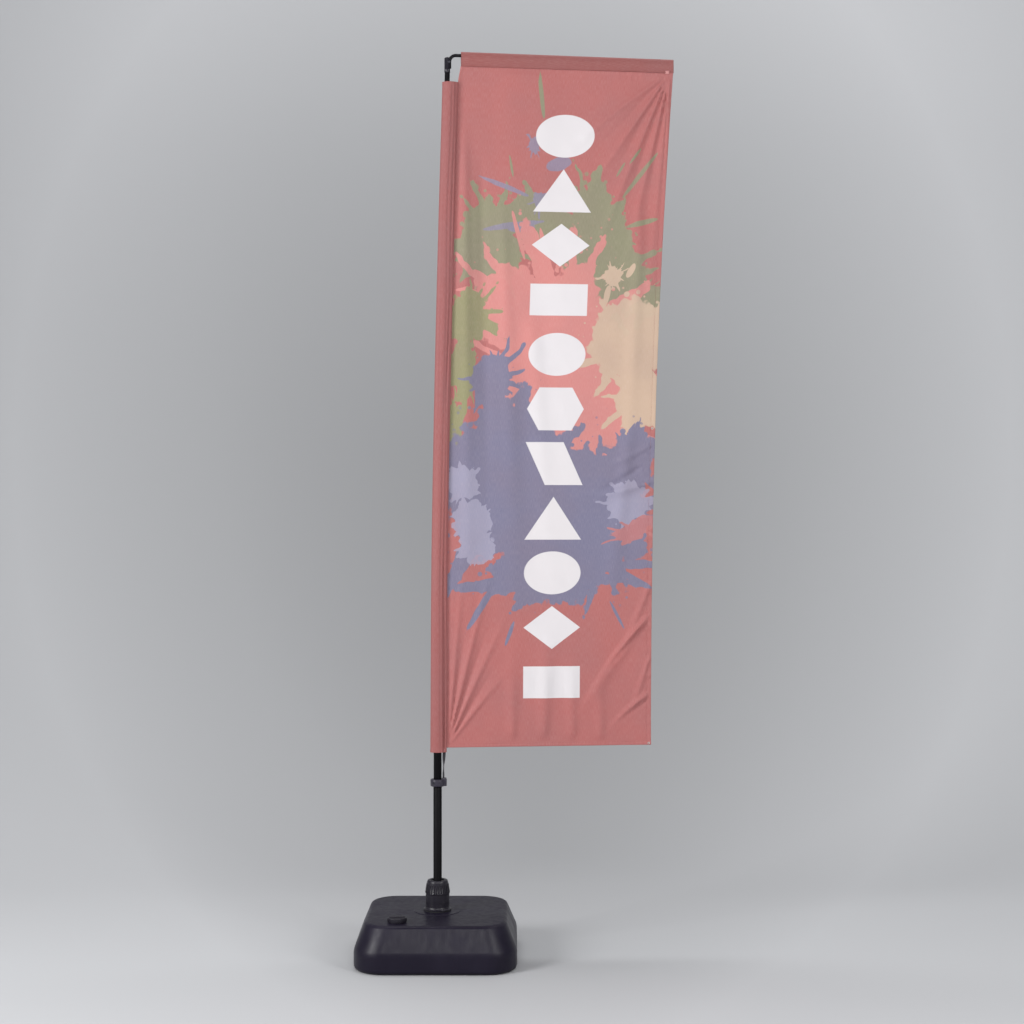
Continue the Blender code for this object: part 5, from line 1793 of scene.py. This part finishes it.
        def place(across: np.ndarray, along: np.ndarray) -> tuple[np.ndarray, ...]:
            """Out, deep and up for shares across and along."""
            angle = across * math.tau
            up = low + (high - low) * along
            seam = np.clip(np.cos(angle), 0.0, None)
            below, above = ease((up - low - 0.006) / 0.008), ease((up - high + 0.014) / 0.008)
            ends = 1.0 - below * (1.0 - above)
            half = lines.sleeve_half + 0.0005 * ends * (1.0 - seam)
            deep = self.sleeve_deep * (1.0 - 0.25 * seam) + 0.0005 * ends * (1.0 - seam)
            low_part = 1.0 - ease((up - 0.95) / 0.35)
            across_it, side = np.cos(angle), np.sin(angle)
            front = ease(-side * 3.0)
            crease = np.zeros_like(up)
            for spot, depth, width, phase in self.creases:
                wander = spot + 0.12 * noise.at(up / 0.30 + phase, phase)
                strength = 0.55 + 0.45 * noise.at(up / 0.24, phase * 3.0)
                crease = crease + depth * strength * np.exp(-((across_it - wander) / width) ** 2)
            deeper = 0.0042 * low_part * np.exp(-((across_it - 0.62) / 0.13) ** 2)
            crease = (crease + deeper) * front * (1.0 - 0.6 * ends)
            slack = 0.0010 * noise.at(angle * 1.1 + 1.0, up / 0.33) * (1.0 - seam ** 4)
            round_it = np.where(across_it > 0.0, 0.55, 0.85)
            out = lines.sleeve_middle(up) + (half + slack * 0.5) * across_it
            depth = (deep + slack) * np.sign(side) * np.abs(side) ** round_it + crease
            return out, depth, up

        sleeve = Cloth.lay("pole_sleeve_cloth", 72, 300, place,
                           Cloth.cut(self.sleeve_wide, high - low), wrapped=True)
        Cloth.thicken(sleeve, self.sleeve_wall, -1.0)
        return fit(sleeve, "mast", "flag_cloth", self.painted_shade_sleeve_cloth.material(), "pole_sleeve")

    def arm_sleeve(self) -> bpy.types.Object:
        """Wrap the top sleeve round the arm, sewn flat at its far end."""
        lines = self.lines
        start, end = lines.arm_span
        noise = SoftNoise(8)

        def place(across: np.ndarray, along: np.ndarray) -> tuple[np.ndarray, ...]:
            """Out, deep and up for shares across and along."""
            angle = across * math.tau
            out = end - (end - start) * (1.0 - along) ** 1.5
            seam = np.clip(np.cos(angle), 0.0, None)
            crest, foot = lines.arm_axis(out) + lines.arm_crown, lines.arm_seam(out)
            shut = 1.0 - ease((end - out) / 0.0030)
            deep = self.arm_deep * (1.0 - 0.45 * seam) * (1.0 - 0.88 * shut)
            slack = 0.0010 * noise.at(angle * 1.3, out / 0.045) * (1.0 - seam ** 4) * (1.0 - shut)
            slack = slack + 0.0006 * noise.at(angle * 0.8 + out / 0.05, out / 0.016) * seam
            half = (crest - foot) / 2
            up = (crest + foot) / 2 - (half - 0.0006 * shut) * np.cos(angle)
            side = np.sin(angle)
            round_it = np.where(np.cos(angle) > 0.0, 0.5, 0.8)
            return out, (deep + slack) * np.sign(side) * np.abs(side) ** round_it, up

        sleeve = Cloth.lay("arm_sleeve_cloth", 56, 190, place,
                           Cloth.cut(self.top_wide, end - start), wrapped=True)
        Cloth.thicken(sleeve, self.sleeve_wall, -1.0)
        return fit(sleeve, "mast", "flag_cloth", self.painted_shade_top_cloth.material(), "arm_sleeve")

    def tab(self) -> bpy.types.Object:
        """Sew a small folded label under the arm sleeve at the free edge."""
        low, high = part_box("corner_tab")
        turn = Matrix.Rotation(-FLAG_YAW, 4, "Z")
        middle = turn @ ((low + high) / 2)
        width, tall = self.tab_wide, high.z - low.z

        def place(across: np.ndarray, along: np.ndarray) -> tuple[np.ndarray, ...]:
            """Out, deep and up for shares across and along."""
            out = middle.x + 0.005 + (across - 0.5) * width
            up = low.z + 0.006 + tall * along
            curl = 0.0052 * along ** 2 + 0.0006 * np.cos((across - 0.5) * math.pi)
            return out, -(self.drape.rise(out, up) + 0.0024 + curl), up

        tab = Cloth.lay("corner_label", 16, 10, place, Cloth.cut(width, tall))
        Cloth.thicken(tab, self.tab_wall)
        return fit(tab, "mast", "tab_cloth", self.label.material(), "corner_tab")

    def eyelet(self) -> bpy.types.Object:
        """Turn the eyelet that is set in the bottom corner."""
        low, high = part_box("corner_eyelet")
        middle = Matrix.Rotation(-FLAG_YAW, 4, "Z") @ ((low + high) / 2)
        half = 0.0028
        face = [(0.0015 + 0.00105 * (1.0 - math.cos(a)), half + 0.0007 * math.sin(a))
                for a in arc(20.0, 10)]
        back = [(radius, -level) for radius, level in reversed(face)]
        ring = Bench.turn("eyelet_ring", face + back, 40, ring=True)
        lift = float(self.drape.rise(np.array(middle.x), np.array(middle.z)))
        Bench.swing(ring, Matrix.Translation((middle.x, -lift, middle.z))
                    @ Matrix.Rotation(math.radians(90.0), 4, "X"))
        Bench.tidy(ring, 40.0)
        Bench.to_flag(ring)
        return fit(ring, "mast", "eyelet_metal", self.brass.material(), "corner_eyelet")

    def stitches(self) -> bpy.types.Object:
        """Sew along the hems, the seams and the ends of the sleeves."""
        lines, low = self.lines, self.lines.flag_bottom
        peak = float(lines.arm_seam(lines.arm_span[1]))

        def on_panel(out: np.ndarray, up: np.ndarray, lift: float) -> np.ndarray:
            """Points on the panel, lifted off it towards the viewer."""
            return np.stack([out, -(self.drape.rise(out, up) + lift), up], axis=1)

        up = np.linspace(low + 0.002, peak, 700)
        side = lines.free_edge(up) - self.side_hem + 0.0014
        out = np.linspace(float(lines.seam(np.array(low))), lines.reach - 0.002, 300)
        foot = np.full_like(out, low + self.bottom_hem - 0.0013)
        tall = np.linspace(low + 0.013, lines.sleeve_top - 0.004, 700)
        seam = lines.seam(tall) + 0.0024
        wide = np.linspace(lines.arm_span[0] + 0.004, lines.arm_span[1] - 0.004, 300)
        under = lines.arm_seam(wide) - 0.0024
        rows = []
        for sign in (1.0, -1.0):
            rows += [on_panel(side, up, sign * 0.0010), on_panel(out, foot, sign * 0.0010),
                     on_panel(seam, tall, sign * 0.0003), on_panel(wide, under, sign * 0.0003)]
        return Stitching().row("flag_stitches", rows, self.thread.material())

    def build(self) -> None:
        """Build the cloth and what is sewn to it."""
        panel = self.panel()
        hems = self.hems()
        sleeve, top = self.pole_sleeve(), self.arm_sleeve()
        tab, ring, thread = self.tab(), self.eyelet(), self.stitches()
        tall = self.top() - self.lines.flag_bottom
        self.cut_away * self.flat_wide * tall


# ---- studio -----------------------------------------------------------------------------
@dataclass(frozen=True)
class Softbox:
    """A soft area light."""

    name: str
    place: tuple[float, float, float]
    aim: tuple[float, float, float]
    size: tuple[float, float]
    power: float

    def build(self) -> bpy.types.Object:
        """Hang the light and turn it to its aim."""
        Bench.rest()
        bpy.ops.object.light_add(type="AREA", location=self.place)
        lamp = bpy.context.object
        lamp.name = self.name
        lamp.data.shape = "RECTANGLE"
        lamp.data.size, lamp.data.size_y = self.size
        lamp.data.energy = self.power
        way = Vector(self.aim) - Vector(self.place)
        lamp.rotation_euler = way.to_track_quat("-Z", "Y").to_euler()
        return lamp


@dataclass
class Studio:
    """Pale sweep, soft lights and the camera."""

    camera_place: tuple[float, float, float] = (0.238, -5.48, 1.418)
    lens: float = 60.22
    sensor: float = 36.0
    floor_front: float = -9.0
    floor_back: float = 1.0
    sweep: float = 3.6
    sweep_steps: int = 24
    tall: float = 7.0
    half: float = 9.0
    across: float = 5.1
    high: float = 3.4
    low: float = 0.25
    painted_shade_middle: float = 0.574
    pale: Colour = (0.481, 0.485, 0.499)
    ambient: Colour = (0.62, 0.64, 0.66)
    strength: float = 0.40

    def backdrop(self) -> bpy.types.Object:
        """Draw a plane back and up a wide curve into a wall, paler away from its middle, where
        painted shade darkens it.
        """
        Bench.rest()
        bpy.ops.mesh.primitive_plane_add(size=1.0)
        sweep = Bench.started("backdrop")
        for vertex in sweep.data.vertices:
            vertex.co.x = math.copysign(self.half, vertex.co.x)
            vertex.co.y = self.floor_back if vertex.co.y > 0 else self.floor_front
        with Bench.editing(sweep, Part.EDGES):
            Bench.pick(sweep, Part.EDGES,
                       lambda e: all(v.co.y > self.floor_back - 0.01 for v in e.verts))
            last = (0.0, 0.0)
            for i in range(1, self.sweep_steps + 1):
                angle = math.radians(90.0) * i / self.sweep_steps
                spot = (self.sweep * math.sin(angle), self.sweep * (1.0 - math.cos(angle)))
                bpy.ops.mesh.extrude_region_move(TRANSFORM_OT_translate={
                    "value": (0.0, spot[0] - last[0], spot[1] - last[1])})
                last = spot
            bpy.ops.mesh.extrude_region_move(
                TRANSFORM_OT_translate={"value": (0.0, 0.0, self.tall)})
        Bench.hold(sweep)
        bpy.ops.object.shade_smooth()
        board = Board("backdrop_paper")
        out, deep, up = board.split(board.body_place())
        # Painted shade: the backdrop is darker towards its middle and paler away from it. The shade
        # is fixed in the room, but it is laid out from the rest camera's place.
        depth = deep - self.camera_place[1]
        side = (out - self.camera_place[0]) / depth
        rise = (up - self.camera_place[2]) / depth
        away = (side * side * self.across + rise * rise * self.high - rise * self.low + self.painted_shade_middle)
        tone = board.blend(away.least(1.0), (0.0, 0.0, 0.0), self.pale)
        sweep.data.materials.append(board.close(tone, 0.95, Specular_IOR_Level=0.1))
        sweep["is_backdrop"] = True
        return sweep

    def lights(self) -> None:
        """Hang the key light, the fill, the front light and a light for the backdrop."""
        for box in (
                Softbox("key", (-3.4, -2.6, 2.4), (0.3, 0.0, 1.4), (1.4, 1.8), 175.0),
                Softbox("fill", (3.2, -3.2, 2.4), (0.2, 0.0, 0.6), (1.2, 1.6), 80.0),
                Softbox("front", (0.3, -5.9, 3.9), (0.2, 0.0, 0.8), (3.4, 1.2), 125.0),
                Softbox("wall", (0.9, 0.9, 5.8), (0.9, 4.4, 0.9), (7.0, 1.0), 190.0)):
            box.build()
        world = bpy.data.worlds.new("studio")
        bpy.context.scene.world = world
        world.use_nodes = True
        sky = world.node_tree.nodes["Background"]
        sky.inputs["Color"].default_value = (*self.ambient, 1.0)
        sky.inputs["Strength"].default_value = self.strength

    def camera(self) -> None:
        """Set the camera level, straight at the flag."""
        Bench.rest()
        bpy.ops.object.camera_add(location=self.camera_place,
                                  rotation=(math.radians(90.0), 0.0, 0.0))
        camera = bpy.context.object
        camera.data.lens = self.lens
        camera.data.sensor_width = self.sensor
        bpy.context.scene.camera = camera

    def build(self) -> None:
        """Set up the sweep, the lights, the camera and the tone curve."""
        self.backdrop()
        self.lights()
        self.camera()
        bpy.context.scene.view_settings.view_transform = "Standard"


# ---- print ------------------------------------------------------------------------------
PRINT = (
    Ink(shade(126, 126, 98), (
        Blot(0.120, 1.614, 0.107, 0.129, 0.2), Blot(0.296, 1.691, 0.130, 0.075, -0.2),
        Blot(0.484, 1.646, 0.085, 0.160, 0.3), Blot(0.480, 1.500, 0.150, 0.110, 0.0),
        Blot(0.620, 1.450, 0.070, 0.060, 0.0)),
        (Blot(0.265, 2.095, 0.007, 0.078, 0.14), Blot(0.595, 1.845, 0.007, 0.090, -0.62),
         Blot(0.575, 1.905, 0.004, 0.032, -0.6), Blot(0.61, 1.69, 0.009, 0.055, -1.3),
         Blot(0.178, 1.865, 0.004, 0.036, 0.2), Blot(0.53, 1.86, 0.004, 0.028, -0.5)),
        0.30, 0.7, 0.97, 0.7),
    Ink(shade(124, 119, 142), (
        Blot(0.285, 1.755, 0.030, 0.026, 0.4), Blot(0.250, 1.93, 0.018, 0.024, 0.0)),
        (Blot(0.160, 1.80, 0.008, 0.085, 1.2), Blot(0.330, 1.875, 0.040, 0.022, 0.3),
         Blot(0.188, 1.675, 0.010, 0.095, -1.43), Blot(0.215, 1.668, 0.014, 0.045, -1.5)),
        0.30, 0.5, 0.85),
    Ink(shade(196, 122, 117), (
        Blot(0.190, 1.400, 0.120, 0.150, 0.2), Blot(0.370, 1.300, 0.180, 0.240, -0.15),
        Blot(0.480, 1.070, 0.190, 0.130, 0.1), Blot(0.280, 1.180, 0.120, 0.150, 0.0)),
        (Blot(0.208, 1.645, 0.007, 0.085, 0.28), Blot(0.295, 1.600, 0.008, 0.075, 0.24),
         Blot(0.095, 1.51, 0.012, 0.035, 1.0), Blot(0.045, 1.33, 0.008, 0.045, 1.5)),
        0.30, 0.7, 0.95),
    Ink(shade(188, 163, 140), (
        Blot(0.590, 1.310, 0.125, 0.140, 0.2), Blot(0.615, 1.120, 0.070, 0.120, 0.0),
        Blot(0.525, 1.520, 0.030, 0.030, 0.0)),
        (Blot(0.505, 1.455, 0.010, 0.035, -0.2), Blot(0.580, 1.535, 0.010, 0.025, -0.5)),
        0.28, 0.6, 0.95),
    Ink(shade(127, 131, 90), (
        Blot(0.055, 1.370, 0.065, 0.085, 0.0), Blot(0.042, 1.200, 0.045, 0.100, 0.0),
        Blot(0.010, 1.010, 0.030, 0.085, 0.0)), (), 0.30, 0.6, 0.92),
    Ink(shade(107, 105, 131), (
        Blot(0.140, 1.163, 0.065, 0.090, 0.0), Blot(0.207, 0.857, 0.240, 0.240, 0.3),
        Blot(0.507, 0.760, 0.170, 0.220, -0.2), Blot(0.336, 0.580, 0.190, 0.115, 0.0),
        Blot(0.616, 0.920, 0.070, 0.100, 0.0)),
        (Blot(0.120, 0.46, 0.011, 0.105, -0.56), Blot(0.208, 0.365, 0.006, 0.044, -0.35),
         Blot(0.605, 0.545, 0.010, 0.085, 1.1), Blot(0.565, 0.42, 0.005, 0.052, 0.5)),
        0.30, 0.5, 1.0),
    Ink(shade(147, 144, 166), (
        Blot(0.043, 0.838, 0.055, 0.060, 0.0), Blot(0.077, 0.715, 0.060, 0.060, 0.0),
        Blot(0.095, 0.640, 0.050, 0.045, 0.0), Blot(0.600, 0.786, 0.080, 0.060, 0.0)),
        (), 0.30, 0.4, 0.8, 0.35),
    Ink(shade(174, 103, 101), (Blot(0.620, 0.700, 0.075, 0.030, 0.2),), (), 0.25, 0.3, 0.85),
)


def folds() -> tuple[Fold, ...]:
    """List the flag's creases: heading, length, height, spread and bow for the two fans, and
    every value of the single ones."""
    top_fan = (
        (-2.5, 0.50, 0.0016, 0.012, 0.00), (-6.0, 0.85, 0.0023, 0.014, 0.01),
        (-10.0, 0.60, -0.0018, 0.012, 0.02), (-14.0, 0.85, 0.0032, 0.018, 0.03),
        (-19.0, 0.60, -0.0023, 0.014, 0.04), (-24.0, 0.75, 0.0034, 0.021, 0.05),
        (-30.0, 0.50, -0.0020, 0.016, 0.06), (-36.0, 0.58, 0.0034, 0.024, 0.08),
        (-45.0, 0.42, -0.0022, 0.024, 0.10), (-56.0, 0.50, 0.0032, 0.034, 0.16))
    low_fan = (
        (178.0, 0.50, 0.0018, 0.012, 0.0), (175.0, 0.70, 0.0028, 0.016, 0.0),
        (171.0, 0.46, -0.0022, 0.012, 0.0), (167.0, 0.72, 0.0032, 0.019, -0.03),
        (162.0, 0.50, -0.0024, 0.016, -0.05), (157.0, 0.55, 0.0030, 0.021, -0.06),
        (150.0, 0.36, -0.0020, 0.019, -0.08), (143.0, 0.36, 0.0026, 0.026, -0.10))
    fans = [Fold(*corner, heading, length, height, 0.003, spread, bow)
            for corner, fan in (((0.754, 2.842), top_fan), ((0.031, 0.668), low_fan))
            for heading, length, height, spread, bow in fan]
    free_edge = (
        (0.690, 1.090, -44.0, 0.44, 0.0062, 0.007, 0.034, 0.40, 0.5),
        (0.684, 1.058, -48.0, 0.36, -0.0034, 0.006, 0.022, 0.40),
        (0.688, 0.836, -56.0, 0.22, 0.0042, 0.006, 0.040, 0.9, 0.5),
        (0.684, 0.812, -60.0, 0.18, -0.0028, 0.005, 0.030, 0.9),
        (0.690, 0.960, -18.0, 0.24, 0.0024, 0.006, 0.020),
        (0.696, 1.200, -23.0, 0.34, 0.0026, 0.007, 0.030, 0.1),
        (0.706, 1.520, -72.0, 0.30, 0.0042, 0.007, 0.040, -0.4, 0.4),
        (0.668, 1.570, -55.0, 0.26, -0.0026, 0.006, 0.030, -0.3),
        (0.700, 1.640, -60.0, 0.20, 0.0022, 0.006, 0.030, -0.3))
    hanging = (
        (0.085, 2.700, 0.5, 1.95, 0.0042, 0.016, 0.006),
        (0.140, 2.600, 1.0, 1.70, -0.0030, 0.016, 0.008),
        (0.205, 2.450, 2.0, 1.50, 0.0036, 0.020, 0.012),
        (0.300, 2.100, 4.0, 1.10, 0.0030, 0.026, 0.016),
        (0.660, 2.450, -3.0, 1.10, 0.0036, 0.016, 0.014),
        (0.620, 1.700, -6.0, 0.75, 0.0036, 0.020, 0.02),
        (0.240, 0.676, 180.0, 0.36, 0.0034, 0.014, 0.04),
        (0.340, 0.676, 178.0, 0.42, 0.0040, 0.016, 0.04),
        (0.435, 0.676, 181.0, 0.34, 0.0034, 0.014, 0.05),
        (0.530, 0.676, 184.0, 0.26, 0.0030, 0.014, 0.05))
    return (*fans, *(Fold(*values) for values in (*free_edge, *hanging)))


def note_size(stage: str, sizes: dict[str, list[list[float]]]) -> None:
    """Write the bounds measured so far.

    Args:
        stage: what has been measured now.
        sizes: what was measured before; this stage is added to it.
    """
    low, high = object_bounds()
    sizes[stage] = [[float(v) for v in low], [float(v) for v in high]]
    LOG.info("%s box: %s", stage, sizes[stage])


def main() -> None:
    """Build every piece in order, then the studio."""
    logging.basicConfig(level=logging.INFO, format="%(message)s")
    sizes: dict[str, list[list[float]]] = {}
    note_size("cad", sizes)
    lines = Lines.of_frame()
    LOG.info("lines: %s", lines)

    tank_plastic = MouldedPlastic("tank_plastic", shade(23, 19, 33), 0.38, 160.0, 0.00006, 0.0003,
                                  0.20)
    hub_plastic = MouldedPlastic("hub_plastic", shade(26, 23, 32), 0.36, 300.0, 0.00008, 0.0, 0.35)
    collar_plastic = MouldedPlastic("collar_plastic", shade(42, 38, 50), 0.34, 300.0, 0.00006, 0.0)
    bush_plastic = MouldedPlastic("bush_plastic", shade(58, 56, 62), 0.5, 220.0, 0.00006, 0.0)
    steel = BrightMetal("black_zinc", shade(66, 66, 72), 0.38)
    coat = CoatedTube("pole_coat", shade(7, 6, 9), 0.50, 0.0)

    WaterTank(tank_plastic).build()
    Hub(hub_plastic, bush_plastic, Rubber("gasket_rubber", shade(24, 24, 26))).build()
    FillerCap(hub_plastic).build()
    Pole(lines, coat, bush_plastic).build()
    TopArm(lines, CoatedTube("arm_coat", shade(24, 23, 27), 0.28, 0.2), hub_plastic, steel,
           Rubber("tip_rubber", shade(22, 22, 24))).build()
    TensionCollar(lines, collar_plastic, Elastic("strap_elastic", shade(38, 36, 42), 0.0012),
                  steel).build()
    Flag(lines, Drape(lines, folds()),
         PrintedCloth("printed_cloth", shade(165, 91, 88), PRINT, shade(209, 204, 206)),
         # Painted shade: the two sleeves' cloths are the printed cloth's red made darker, where
         # they lie doubled round the black pole and arm.
         PlainCloth("painted_shade_sleeve_cloth", shade(143, 77, 75), 0.66),
         PlainCloth("arm_sleeve_cloth", shade(138, 74, 71), 0.66),
         PlainCloth("label_cloth", shade(190, 132, 130), 0.7),
         Thread("seam_thread", shade(140, 72, 72)),
         BrightMetal("eyelet_metal", shade(214, 212, 208), 0.24)).build()
    Studio().build()
    note_size("visual", sizes)


if __name__ == "__main__":
    main()
